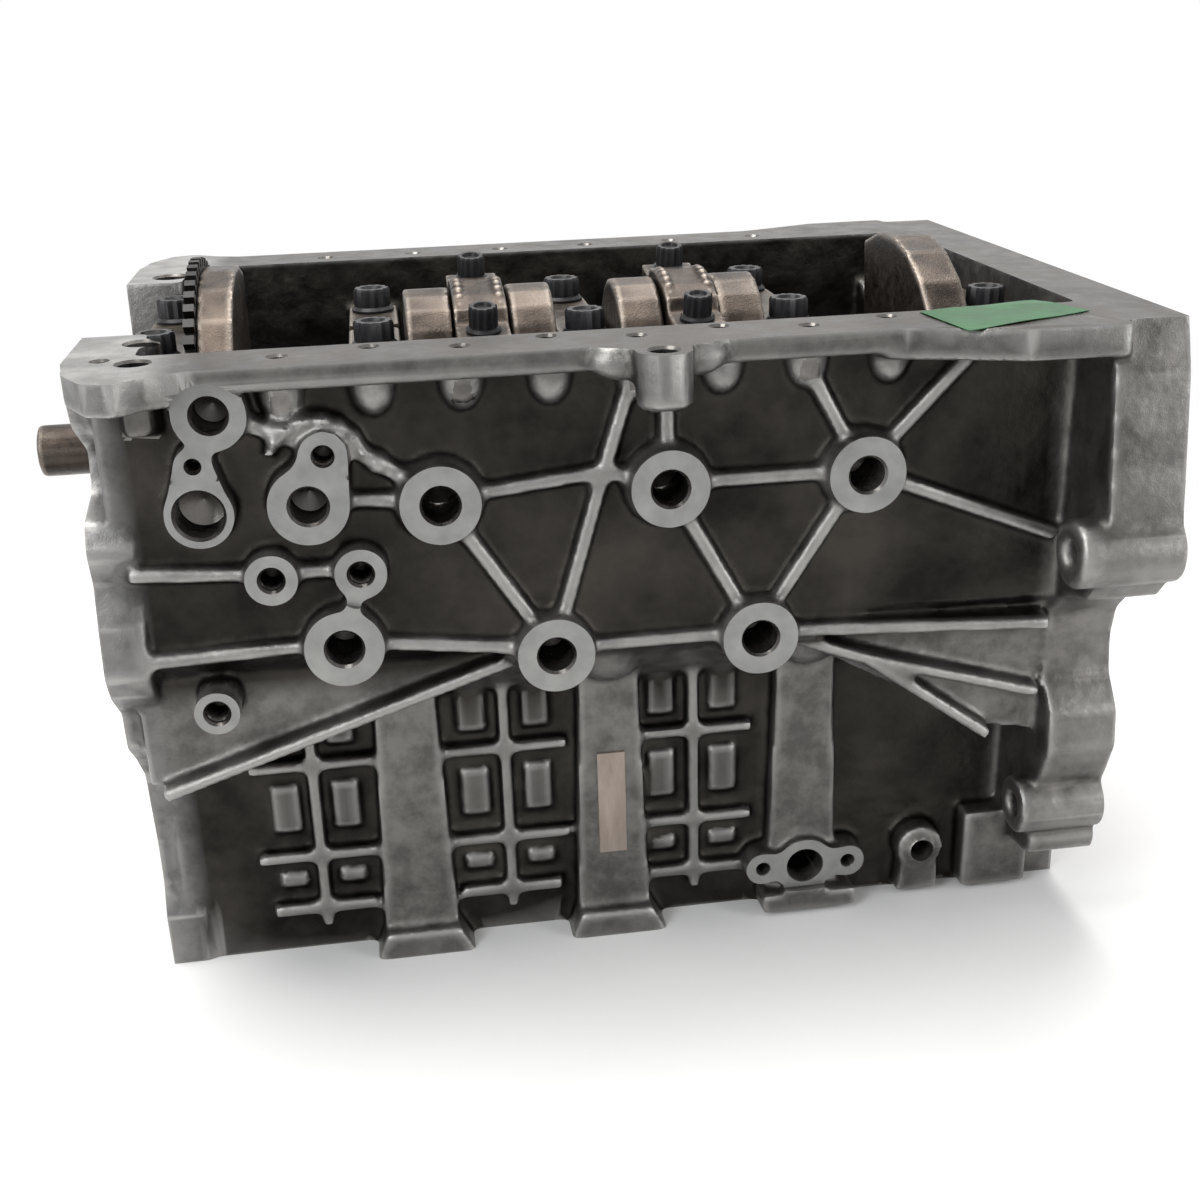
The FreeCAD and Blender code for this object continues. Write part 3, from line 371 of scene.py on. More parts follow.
def make_materials():
    """Every finish of the short block, by name."""
    # Each edge entry is a painted highlight: the colour that sharp convex edges are lightened to.
    return {
        "cast": metal("cast_aluminium", (0.010, 0.0088, 0.0076), (0.042, 0.038, 0.033), 0.9, (0.28, 0.48),
                      grain=(1400.0, 0.6, 0.0003), waves=(90.0, 0.5, 0.0020),
                      edge=(0.503, 0.55, (0.30, 0.295, 0.285)),
                      bright=(((0.24, 0.235, 0.225),
                               (("Y", -0.1148, -0.1180), ("Z", 0.09, 0.10), ("X", 0.187, 0.180))),
                              ((0.150, 0.145, 0.137), (("Y", -0.0725, -0.0745), ("Z", 0.150, 0.140))),
                              ((0.120, 0.116, 0.110), (("Y", -0.1290, -0.1315), ("Z", 0.262, 0.268))),
                              ((0.150, 0.143, 0.134), (("X", 0.176, 0.186), ("Y", 0.10, 0.09))),
                              ((0.150, 0.148, 0.145), (("X", -0.180, -0.190), ("Y", 0.10, 0.09))))),
        "face": metal("machined_face", (0.030, 0.025, 0.021), (0.085, 0.074, 0.065), 0.9, (0.26, 0.40),
                      grain=(2500.0, 0.15, 0.0001), tooling=((40.0, 1600.0, 40.0), 0.25),
                      bright=(((0.34, 0.335, 0.32), (("X", -0.158, -0.172), ("Z", 0.27, 0.28))),)),
        "boss": metal("machined_boss", (0.20, 0.20, 0.194), (0.275, 0.275, 0.265), 0.6, (0.38, 0.5),
                      grain=(2200.0, 0.2, 0.0001), blotch=80.0),
        "drilled": metal("drilled_wall", (0.06, 0.056, 0.052), (0.20, 0.19, 0.18), 0.95, (0.20, 0.34)),
        "honed": metal("honed_bore", (0.16, 0.16, 0.16), (0.26, 0.26, 0.26), 0.95, (0.16, 0.26)),
        "cap": metal("cap_iron", (0.032, 0.026, 0.021), (0.105, 0.086, 0.070), 0.85, (0.28, 0.48),
                     grain=(1500.0, 0.35, 0.0002), edge=(0.508, 0.58, (0.34, 0.30, 0.26)), blotch=60.0),
        "forged": metal("forged_steel", (0.016, 0.012, 0.010), (0.072, 0.056, 0.045), 0.9, (0.26, 0.46),
                        grain=(1200.0, 0.6, 0.0004), edge=(0.508, 0.58, (0.30, 0.26, 0.225)), blotch=55.0),
        "bolt": metal("black_bolt", (0.003, 0.003, 0.0034), (0.009, 0.0085, 0.009), 0.1, (0.30, 0.44),
                      edge=(0.53, 0.66, (0.05, 0.05, 0.055)), blotch=60.0, specular=0.22),
        "dark": metal("dark_steel", (0.008, 0.008, 0.008), (0.025, 0.023, 0.022), 0.7, (0.35, 0.5)),
        "piston": metal("piston_aluminium", (0.16, 0.156, 0.15), (0.27, 0.26, 0.25), 0.85, (0.3, 0.45)),
        "film": film_material(),
        "plate": plate_material(),
    }


def film_material():
    """Green protective film: deep colour, glossy, paler where it is stretched."""
    material, tree, shader = new_material("green_film")
    place = tree.nodes.new("ShaderNodeTexCoord").outputs["Object"]
    cloud = span(tree, noise(tree, place, 45.0, 3.0), 0.4, 0.7, 0.0, 1.0)
    colour = blend(tree, cloud, (0.0008, 0.042, 0.005), (0.0015, 0.080, 0.012))
    tree.links.new(colour, shader.inputs["Base Color"])
    tree.links.new(bump(tree, noise(tree, place, 160.0, 2.0), 0.3, 0.0006), shader.inputs["Normal"])
    shader.inputs["Roughness"].default_value = 0.34
    shader.inputs["Specular IOR Level"].default_value = 0.2
    return material


def plate_material():
    """Thin beige plate with a brushed surface."""
    material, tree, shader = new_material("beige_plate")
    place = tree.nodes.new("ShaderNodeTexCoord").outputs["Object"]
    cloud = span(tree, noise(tree, place, 140.0, 4.0, 0.6, (1.0, 1.0, 0.25)), 0.35, 0.7, 0.0, 1.0)
    colour = blend(tree, cloud, (0.22, 0.175, 0.145), (0.32, 0.265, 0.225))
    tree.links.new(colour, shader.inputs["Base Color"])
    tree.links.new(bump(tree, noise(tree, place, 1800.0), 0.2, 0.0001), shader.inputs["Normal"])
    shader.inputs["Roughness"].default_value = 0.42
    shader.inputs["Metallic"].default_value = 0.35
    return material


MATERIALS = {}


# ---------------------------------------------------------------- cylinder block

def push_out(bm, stock):
    """Moves the machined planes outwards, so that they can be cut to size after the edges are rounded."""
    for vert in bm.verts:
        x, y, z = vert.co
        if abs(z - RAIL) < 1e-5:
            vert.co.z += stock
        elif abs(z - DECK) < 1e-5:
            vert.co.z -= stock
        if abs(x - FRONT) < 1e-5:
            vert.co.x -= stock
        elif abs(x - REAR) < 1e-5:
            vert.co.x += stock
        if abs(y - BOSS_FACE) < 1e-5 or (abs(y - OUTLET_FACE) < 1e-5 and 0.05 < x < 0.125 and z < 0.045):
            vert.co.y -= stock


def fill_holes(bm):
    """Plugs the drilled holes for the remesh; they are drilled again afterwards."""
    for x, z, outer, hole, depth in BRACKET + EAR_TOPS:
        drum(bm, (hole + 0.6) * MM, (depth + 6) * MM,
             (x * MM, BOSS_FACE + (depth + 3) * MM, z * MM), (0, -1, 0), 24)
    for x, y, hole, depth in RAIL_HOLES[:-1] + (EAR_HOLE[:3] + (7,),):
        foot = (x * MM, y * MM, RAIL - (depth + 3) * MM)
        drum(bm, (hole + 0.6) * MM, (depth + 6.5) * MM, foot, (0, 0, 1), 24)
    for x, z, hole, depth in OUTLET_HOLES + (DRAIN_HOLE,):
        drum(bm, (hole + 0.6) * MM, 0.014, (x * MM, -0.072, z * MM), (0, -1, 0), 24)


def bar(bm, start, end, width, depth):
    """Adds a bar between two points of the bracket side: width across it, depth into the wall."""
    start, end = Vector(start), Vector(end)
    along = (end - start).normalized()
    over = Vector((0, -1, 0))
    over = (over - along * over.dot(along)).normalized()
    side = along.cross(over)
    turn = Matrix((along, side, over)).transposed().to_4x4()
    size = Matrix.Diagonal(((end - start).length, width, depth, 1.0))
    middle = (start + end) / 2 - over * (depth / 2)
    bmesh.ops.create_cube(bm, size=1.0, matrix=Matrix.Translation(middle) @ turn @ size)


def runner(bm, points, width, crest):
    """Adds the rounded trace of a metal flow channel through points (along, height, in mm)."""
    for (x0, z0), (x1, z1) in zip(points, points[1:]):
        bar(bm, (x0 * MM, crest, z0 * MM), (x1 * MM, crest, z1 * MM), width, 0.016)
        lump(bm, (x1 * MM, crest + 0.003, z1 * MM), (width * 0.75, 0.0055, width * 0.75))


def arc(x, z, radius, first, last, steps):
    """Points on a circle of the bracket side, in mm, between two angles."""
    turns = [math.radians(first + (last - first) * i / steps) for i in range(steps + 1)]
    return [(x + radius * math.cos(a), z + radius * math.sin(a)) for a in turns]


def add_cast_details(bm):
    """The rounded forms between the ribs that are too soft to be drawn with edges."""
    for x, z, outer, hole, depth in BRACKET[:6]:
        foot = -0.092 if z < 190 else -0.106
        lathe(bm, [((outer + 6.5) * MM, 0.0), ((outer + 2.0) * MM, 0.008), ((outer - 0.5) * MM, 0.017)],
              (x * MM, foot, z * MM), (0, -1, 0), 32)
    for x, y, hole, depth in RAIL_HOLES[:8]:
        lump(bm, (x * MM, -0.1135, 0.2695), (0.0085, 0.0075, 0.0125))
    for x, y, hole, depth in RAIL_HOLES[8:14]:
        lump(bm, (x * MM, 0.1145, 0.2695), (0.0085, 0.0075, 0.0125))
    runner(bm, [(-137, 258), (-126, 254), (-116, 249)], 0.0060, -0.1205)
    runner(bm, arc(-112.5, 240.5, 18.0, 165, 15, 7), 0.0036, -0.1215)
    runner(bm, [(-99, 246), (-90, 240), (-80, 233)], 0.0060, -0.1205)
    bar(bm, (-0.1066, BOSS_FACE - 0.003, 0.176), (-0.1015, BOSS_FACE - 0.003, 0.194), 0.0050, 0.016)
    for side in (-1, 1):
        lump(bm, ((14.1 + side * 13) * MM, -0.1335, 0.2765), (0.013, 0.0075, 0.0075))
    lump(bm, (0.0141, -0.1425, 0.2655), (0.0105, 0.0090, 0.0085))
    for i, middle in enumerate((-129.8, -45.9, 38.0)):
        for side in (-1, 1):
            x = middle + side * (14.0 if i else 13.0)
            for low, high in ((98, 127), (57, 89), (29, 45)):
                pillow(bm, ((x - 10.5) * MM, -0.0725, low * MM),
                       ((x + 10.5) * MM, -0.060, high * MM), 0.0050)
        pillow(bm, ((middle - 24) * MM, -0.0760, 0.0195),
               ((middle + 24) * MM, -0.062, 0.0270), 0.0012)
    for x in (-88.0, 0.0, 88.0):
        lump(bm, (x * MM, -0.082, 0.150), (0.019, 0.012, 0.024))


def drill(bm, origin, axis, radius, depth, chamfer=0.0009, pitch=0.0, segments=32):
    """Adds a drill's shape: pointed, chamfered at the mouth, and ribbed where the hole is threaded."""
    profile = [(radius * 0.02, -depth - radius * 0.55), (radius, -depth)]
    if pitch:
        turns = int((depth - 0.004) / pitch)
        for i in range(turns):
            start = -depth + 0.002 + i * pitch
            profile += [(radius, start), (radius + 0.00055, start + pitch * 0.45),
                        (radius, start + pitch * 0.9)]
    profile += [(radius, -chamfer - 0.0003), (radius + chamfer, 0.0), (radius + chamfer, 0.006)]
    lathe(bm, profile, origin, axis, segments)


def boss_cutters():
    """Two sets of drums that face the bosses off; those that would touch are in different sets."""
    main, second = bmesh.new(), bmesh.new()
    for x, z, outer, hole, depth in BRACKET:
        reach = outer + (0.3 if z > 255 else 3.0)
        drum(main, reach * MM, 0.02, (x * MM, BOSS_FACE, z * MM), (0, -1, 0), 48)
    for x, z, outer, hole, depth in EAR_TOPS:
        drum(second, (outer + 2.5) * MM, 0.02, (x * MM, BOSS_FACE, z * MM), (0, -1, 0), 48)
    block_of(second, (0.057, OUTLET_FACE - 0.02, 0.0140), (0.120, OUTLET_FACE, 0.040))
    return to_object(main, "face_mill"), to_object(second, "face_mill_small")


def hole_cutter():
    """Every drilled hole of the outside, as one cutter."""
    bm = bmesh.new()
    for x, z, outer, hole, depth in BRACKET + EAR_TOPS:
        pitch = 0.0 if hole == 9.0 else (0.00175 if hole > 6 else 0.00125)
        chamfer = 0.0010 if hole > 4 else 0.0006
        drill(bm, (x * MM, BOSS_FACE, z * MM), (0, -1, 0), hole * MM, depth * MM, chamfer, pitch)
    for x, y, hole, depth in RAIL_HOLES:
        drill(bm, (x * MM, y * MM, RAIL), (0, 0, 1), hole * MM, depth * MM, 0.0008)
    for x, z, hole, depth in OUTLET_HOLES:
        drill(bm, (x * MM, OUTLET_FACE, z * MM), (0, -1, 0), hole * MM, depth * MM, 0.0005)
    x, z, hole, depth = DRAIN_HOLE
    drill(bm, (x * MM, DRAIN_FACE, z * MM), (0, -1, 0), hole * MM, depth * MM, 0.0006)
    return to_object(bm, "drills")


def bore_cutter():
    """The cylinder bores, trimmed to size again."""
    bm = bmesh.new()
    for n in CYLINDERS:
        drum(bm, CYLINDER_BORE, 0.1485, (MAIN_PITCH * (n - 2.5), 0, -0.006), (0, 0, 1), 64)
    return to_object(bm, "boring_bar")


def line_cutter():
    """The bearing bores along the crankshaft."""
    bm = bmesh.new()
    lathe(bm, [(MAIN_BORE, -0.23), (MAIN_BORE, 0.189), (SEAL_BORE, 0.189), (SEAL_BORE, 0.26)],
          (0, 0, CRANK_HEIGHT), (1, 0, 0), 64)
    return to_object(bm, "line_bar")


def paint_block(item):
    """Gives each face its finish by where it lies.

    0 is cast, 1 milled, 2 a boss's face, 3 drilled and 4 honed, as the block's materials are listed.
    """
    mesh = item.data
    count = len(mesh.polygons)
    centres = np.empty(count * 3)
    normals = np.empty(count * 3)
    mesh.polygons.foreach_get("center", centres)
    mesh.polygons.foreach_get("normal", normals)
    x, y, z = centres.reshape(-1, 3).T
    nx, ny, nz = normals.reshape(-1, 3).T
    index = np.zeros(count, dtype=np.int32)
    near, close = 1.5e-4, 2e-4
    index[(abs(z - RAIL) < near) & (nz > 0.9)] = 1
    index[(abs(z - DECK) < near) & (nz < -0.9)] = 1
    index[((abs(x - FRONT) < near) & (nx < -0.9)) | ((abs(x - REAR) < near) & (nx > 0.9))] = 1
    index[(abs(y - BOSS_FACE) < near) & (ny < -0.9)] = 2
    index[(abs(y - OUTLET_FACE) < near) & (ny < -0.9) & (z < 0.045)] = 2
    for hx, hz, outer, hole, depth in BRACKET + EAR_TOPS:
        away = np.hypot(x - hx * MM, z - hz * MM)
        index[(away < (hole + 1.3) * MM) & (y < BOSS_FACE + (depth + 6) * MM) & (ny > -0.9)] = 3
    for hx, hy, hole, depth in RAIL_HOLES:
        away = np.hypot(x - hx * MM, y - hy * MM)
        index[(away < (hole + 1.0) * MM) & (z > RAIL - (depth + 5) * MM) & (nz < 0.9)] = 3
    index[abs(np.hypot(y, z - CRANK_HEIGHT) - MAIN_BORE) < close] = 3
    for n in CYLINDERS:
        index[abs(np.hypot(x - MAIN_PITCH * (n - 2.5), y) - CYLINDER_BORE) < close] = 4
    mesh.polygons.foreach_set("material_index", index)


def make_block(settings):
    """The casting: plugged, rounded, milled to its planes, faced, bored and drilled."""
    bm = merged_copy("cylinder_block")
    push_out(bm, settings.stock)
    fill_holes(bm)
    add_cast_details(bm)
    bmesh.ops.recalc_face_normals(bm, faces=bm.faces)
    item = to_object(bm, "block_casting")
    soften(item, settings.voxel, settings.rounding, settings.triangles)
    knife = bmesh.new()
    block_of(knife, (FRONT, -0.2, DECK), (REAR, 0.2, RAIL))
    carve(item, to_object(knife, "mill"), "INTERSECT")
    for cutter in boss_cutters():
        carve(item, cutter)
    carve(item, bore_cutter())
    carve(item, line_cutter())
    carve(item, hole_cutter())
    dress(item, *(MATERIALS[k] for k in ("cast", "face", "boss", "drilled", "honed")))
    paint_block(item)
    shade(item)
    return stands_for(item, "block", "cast_aluminium", "cylinder_block")


# ---------------------------------------------------------------- bolts

def bolt_mesh(name, shank, length, flange, head, flange_height, head_height, points=12):
    """A flanged bolt with a pointed head: its seat is at the origin, its shank runs down."""
    bm = bmesh.new()
    lathe(bm, [(shank * 0.9, -length), (shank, -length + 0.001), (shank, 0.0), (flange * 0.97, 0.0),
               (flange, 0.0005), (flange, flange_height * 0.45), (flange * 0.88, flange_height),
               (head * 0.7, flange_height * 1.15)],
          (0, 0, 0), (0, 0, 1), 40)
    rows = []
    base = flange_height * 0.8
    for share, height in ((1.0, base), (1.0, base + head_height * 0.86), (0.93, base + head_height),
                          (0.62, base + head_height), (0.5, base + head_height * 0.86)):
        row = []
        for i in range(2 * points):
            angle = math.pi * i / points
            depth = 0.87 if i % 2 and share > 0.7 else 1.0
            radius = head * share * depth
            row.append(bm.verts.new((radius * math.cos(angle), radius * math.sin(angle), height)))
        rows.append(row)
    count = 2 * points
    for low, high in zip(rows, rows[1:]):
        for i in range(count):
            j = (i + 1) % count
            bm.faces.new((low[i], low[j], high[j], high[i]))
    bm.faces.new(list(reversed(rows[0])))
    bm.faces.new(rows[-1])
    bmesh.ops.recalc_face_normals(bm, faces=bm.faces)
    return to_object(bm, name)


def seat_pattern():
    """A node group that sets one piece on every point, each turned at random about its own axis."""
    group = bpy.data.node_groups.new("seat_pattern", "GeometryNodeTree")
    face = group.interface
    face.new_socket("Points", in_out="INPUT", socket_type="NodeSocketGeometry")
    piece = face.new_socket("Piece", in_out="INPUT", socket_type="NodeSocketObject")
    lean = face.new_socket("Lean", in_out="INPUT", socket_type="NodeSocketFloat")
    seed = face.new_socket("Seed", in_out="INPUT", socket_type="NodeSocketInt")
    finish = face.new_socket("Finish", in_out="INPUT", socket_type="NodeSocketMaterial")
    face.new_socket("Geometry", in_out="OUTPUT", socket_type="NodeSocketGeometry")
    nodes, links = group.nodes, group.links
    start = nodes.new("NodeGroupInput")
    end = nodes.new("NodeGroupOutput")
    info = nodes.new("GeometryNodeObjectInfo")
    chance = nodes.new("FunctionNodeRandomValue")
    chance.data_type = "FLOAT"
    chance.inputs[2].default_value = 0.0
    chance.inputs[3].default_value = 2 * math.pi
    turn = nodes.new("ShaderNodeCombineXYZ")
    spin = nodes.new("FunctionNodeEulerToRotation")
    tilt_angle = nodes.new("ShaderNodeCombineXYZ")
    tilt = nodes.new("FunctionNodeEulerToRotation")
    both = nodes.new("FunctionNodeRotateRotation")
    copies = nodes.new("GeometryNodeInstanceOnPoints")
    real = nodes.new("GeometryNodeRealizeInstances")
    paint = nodes.new("GeometryNodeSetMaterial")
    links.new(start.outputs["Piece"], info.inputs["Object"])
    links.new(start.outputs["Seed"], chance.inputs["Seed"])
    links.new(chance.outputs[1], turn.inputs["Z"])
    links.new(turn.outputs[0], spin.inputs[0])
    links.new(start.outputs["Lean"], tilt_angle.inputs["X"])
    links.new(tilt_angle.outputs[0], tilt.inputs[0])
    links.new(spin.outputs[0], both.inputs[0])
    links.new(tilt.outputs[0], both.inputs[1])
    links.new(start.outputs["Points"], copies.inputs["Points"])
    links.new(info.outputs["Geometry"], copies.inputs["Instance"])
    links.new(both.outputs[0], copies.inputs["Rotation"])
    links.new(copies.outputs["Instances"], real.inputs["Geometry"])
    links.new(real.outputs["Geometry"], paint.inputs["Geometry"])
    links.new(start.outputs["Finish"], paint.inputs["Material"])
    links.new(paint.outputs["Geometry"], end.inputs["Geometry"])
    group["sockets"] = [piece.identifier, lean.identifier, seed.identifier, finish.identifier]
    return group


def set_pieces(name, pattern, spots, piece, lean, seed, finish):
    """One mesh of a piece repeated at each spot."""
    bm = bmesh.new()
    for spot in spots:
        bm.verts.new(spot)
    item = to_object(bm, name)
    maker = item.modifiers.new("Pattern", "NODES")
    maker.node_group = pattern
    for key, value in zip(pattern["sockets"], (piece, float(lean), seed, finish)):
        maker[key] = value
    settle(item)
    if not item.data.polygons:
        raise RuntimeError("%s has no pieces" % name)
    shade(item, 28.0)
    return item


def rod_place(cylinder):
    """Where a rod's big end is, the rod's own up and across directions, and its lean."""
    joint = [j for j in frame["joints"] if j["name"] == "rod_%d_swing" % cylinder][0]
    where = joint["pos_m"]
    pin = Vector((MAIN_PITCH * (cylinder - 2.5), where[1], where[2]))
    sine = pin.y / ROD_LENGTH
    up = Vector((0, sine, math.sqrt(1 - sine * sine)))
    across = Vector((0, up.z, -up.y))
    return pin, up, across, -math.asin(sine)


def make_cap_bolts(settings):
    """The ten bolts of the main caps."""
    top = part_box("main_cap_1")[1].z
    spots = [(MAIN_PITCH * (n - 3), side * CAP_BOLT_SPREAD, top) for n in MAINS for side in (-1, 1)]
    piece = bolt_mesh("cap_bolt", 0.005, 0.09, 0.0096, 0.0084, 0.0024, 0.0086)
    item = set_pieces("cap_bolts", seat_pattern(), spots, piece, 0.0, settings.seed, MATERIALS["bolt"])
    discard(piece)
    return stands_for(item, "block", "black_bolt", "main_cap_bolts")


def make_rod_bolts(settings):
    """Two bolts on each rod's cap, turned with the rod."""
    pattern = seat_pattern()
    for n in CYLINDERS:
        pin, up, across, lean = rod_place(n)
        spots = [pin + up * ROD_BOLT_SEAT + across * (side * ROD_BOLT_SPREAD) for side in (-1, 1)]
        piece = bolt_mesh("rod_bolt", 0.0042, 0.044, 0.0072, 0.0060, 0.0022, 0.0090)
        item = set_pieces("rod_bolts_%d_black" % n, pattern, spots, piece, lean, settings.seed + n,
                          MATERIALS["bolt"])
        discard(piece)
        stands_for(item, "rod_%d" % n, "black_bolt", "rod_bolts_%d" % n)


# ---------------------------------------------------------------- caps, crank, rods

def soft_copy(node, name, voxel, passes, triangles, material, details=None):
    """A CAD node with its edges rounded as forged or cast ones are."""
    bm = merged_copy(node)
    if details:
        details(bm)
    bmesh.ops.recalc_face_normals(bm, faces=bm.faces)
    item = to_object(bm, name)
    soften(item, voxel, passes, triangles)
    dress(item, material)
    shade(item, 50.0)
    return item


def make_main_caps(settings):
    """The main caps, with hollow flanks beside the crankshaft and rounded ends over the bolts."""
    for n in MAINS:
        x = MAIN_PITCH * (n - 3)
        item = soft_copy("main_cap_%d" % n, "main_cap_%d_body" % n, settings.voxel, settings.rounding, 9000,
                         MATERIALS["cap"])
        knife = bmesh.new()
        for side in (-1, 1):
            drum(knife, 0.0075, 0.05, (x + side * 0.0155, 0.0, 0.25), (0, 0, 1), 40)
            drum(knife, 0.0105, 0.03, (x - 0.015, side * 0.0625, 0.2725), (1, 0, 0), 40)
        carve(item, to_object(knife, "cap_form"))
        shade(item, 40.0)
        stands_for(item, "block", "cap_iron", "main_cap_%d" % n)


def make_crank(settings):
    """The crankshaft's forging, and the finish of its speed wheel."""
    item = soft_copy("crankshaft", "crank_forging", settings.voxel, settings.rounding, settings.triangles,
                     MATERIALS["forged"])
    stands_for(item, "crank", "forged_steel", "crankshaft")
    wheel = frame["nodes"]["trigger_wheel"]
    for slot in wheel.material_slots:
        slot.material = MATERIALS["dark"]


def rod_cap_ribs(cylinder):
    """What adds the two ribs over the cap of a rod's big end."""
    pin, up, across, lean = rod_place(cylinder)

    def add(bm):
        for x in (-0.0082, 0.0082):
            for i in range(-4, 5):
                angle = math.radians(9 * i)
                spot = pin + up * (0.0318 * math.cos(angle)) + across * (0.0318 * math.sin(angle))
                lump(bm, spot + Vector((x, 0, 0)), (0.0024, 0.0030, 0.0030))
    return add


def make_rods(settings):
    """The rods with their caps, the small ends bored to size, and the finish of the pistons."""
    for n in CYLINDERS:
        body = "rod_%d" % n
        cap = soft_copy("rod_cap_%d" % n, "rod_cap_%d_forged" % n, settings.voxel, settings.rounding, 9000,
                        MATERIALS["forged"], rod_cap_ribs(n))
        stands_for(cap, body, "forged_steel", "rod_cap_%d" % n)
        rod = soft_copy("con_rod_%d" % n, "con_rod_%d_forged" % n, settings.voxel, settings.rounding, 14000,
                        MATERIALS["forged"])
        pin, up, across, lean = rod_place(n)
        reamer = bmesh.new()
        drum(reamer, settings.eye, 0.06, pin - up * ROD_LENGTH - Vector((0.03, 0, 0)), (1, 0, 0), 48)
        carve(rod, to_object(reamer, "reamer"))
        shade(rod, 50.0)
        stands_for(rod, body, "forged_steel", "con_rod_%d" % n)
        for slot in frame["nodes"]["piston_%d" % n].material_slots:
            slot.material = MATERIALS["piston"]


# ---------------------------------------------------------------- film and plate

def make_film(settings):
    """The protective film: a thin sheet, a little wavy, hanging over the rail's inner edge."""
    outline = ((0.122, -0.107), (0.175, -0.092), (0.184, -0.123), (0.127, -0.1455))
    corners = [Vector((x, y, 0)) for x, y in outline]
    bm = bmesh.new()
    steps = 28
    grid = []
    for i in range(steps + 1):
        row = []
        for j in range(steps + 1):
            u, v = i / steps, j / steps
            inner = corners[0].lerp(corners[1], u)
            outer = corners[3].lerp(corners[2], u)
            spot = inner.lerp(outer, v)
            lift = settings.lift * (0.5 + 0.5 * math.sin(9 * u + 4 * v)) * (0.3 + abs(2 * v - 1)) * 0.5
            droop = max(0.0, spot.y + 0.1025) * 0.10
            row.append(bm.verts.new((spot.x, spot.y, RAIL + 0.00035 + lift - droop)))
        grid.append(row)
    for i in range(steps):
        for j in range(steps):
            bm.faces.new((grid[i][j], grid[i][j + 1], grid[i + 1][j + 1], grid[i + 1][j]))
    bmesh.ops.recalc_face_normals(bm, faces=bm.faces)
    item = to_object(bm, "film_sheet")
    body = item.modifiers.new("Thickness", "SOLIDIFY")
    body.thickness = 0.00025
    settle(item)
    dress(item, MATERIALS["film"])
    shade(item, 40.0)
    stands_for(item, "block", "green_film", "rail_film")


def make_plate(settings):
    """The bare identification plate on the middle column."""
    bm = bmesh.new()
    block_of(bm, (settings.along - settings.width / 2, -0.0800, settings.foot),
             (settings.along + settings.width / 2, -0.0785, settings.foot + settings.height))
    item = to_object(bm, "bare_plate")
    corner = item.modifiers.new("Corner", "BEVEL")
    corner.width = 0.0004
    corner.segments = 2
    settle(item)
    dress(item, MATERIALS["plate"])
    shade(item, 30.0)
    stands_for(item, "block", None)


# ---------------------------------------------------------------- stage

def area_light(name, place, target, size, power, tint=(1.0, 1.0, 1.0)):
    """A soft lamp of a size and power that faces a target."""
    data = bpy.data.lights.new(name, "AREA")
    data.shape = "RECTANGLE"
    data.size, data.size_y = size
    data.energy = power
    data.color = tint
    lamp = bpy.data.objects.new(name, data)
    lamp.location = place
    lamp.rotation_euler = (Vector(target) - Vector(place)).to_track_quat("-Z", "Y").to_euler()
    bpy.context.scene.collection.objects.link(lamp)


def make_camera(settings):
    """The camera, by its place and three turns."""
    data = bpy.data.cameras.new("camera")
    data.sensor_width = 36.0
    data.lens = settings.lens
    data.clip_start = 0.01
    camera = bpy.data.objects.new("camera", data)
    turn = Matrix.Rotation(math.radians(90), 4, "X")
    turn @= Matrix.Rotation(settings.heading, 4, "Y")
    turn @= Matrix.Rotation(settings.tilt, 4, "X")
    turn @= Matrix.Rotation(settings.roll, 4, "Z")
    camera.matrix_world = Matrix.Translation(settings.eye) @ turn
    bpy.context.scene.collection.objects.link(camera)
    bpy.context.scene.camera = camera


def seen_directly(tree, *kinds):
    """A factor that is 1 for rays of these kinds, so that they meet a plain white background."""
    path = tree.nodes.new("ShaderNodeLightPath")
    total = path.outputs[kinds[0]]
    for kind in kinds[1:]:
        either = tree.nodes.new("ShaderNodeMath")
        either.operation = "MAXIMUM"
        tree.links.new(total, either.inputs[0])
        tree.links.new(path.outputs[kind], either.inputs[1])
        total = either.outputs[0]
    return total


def make_world(settings):
    """White to the eye and in reflections, a weaker even light otherwise."""
    world = bpy.data.worlds.new("studio")
    world.use_nodes = True
    tree = world.node_tree
    tree.nodes.clear()
    output = tree.nodes.new("ShaderNodeOutputWorld")
    air = tree.nodes.new("ShaderNodeBackground")
    air.inputs["Color"].default_value = (1.0, 1.0, 1.0, 1.0)
    rays = seen_directly(tree, "Is Camera Ray", "Is Glossy Ray", "Is Transmission Ray")
    tree.links.new(span(tree, rays, 0.0, 1.0, settings.ambient, 1.0), air.inputs["Strength"])
    tree.links.new(air.outputs[0], output.inputs["Surface"])
    bpy.context.scene.world = world


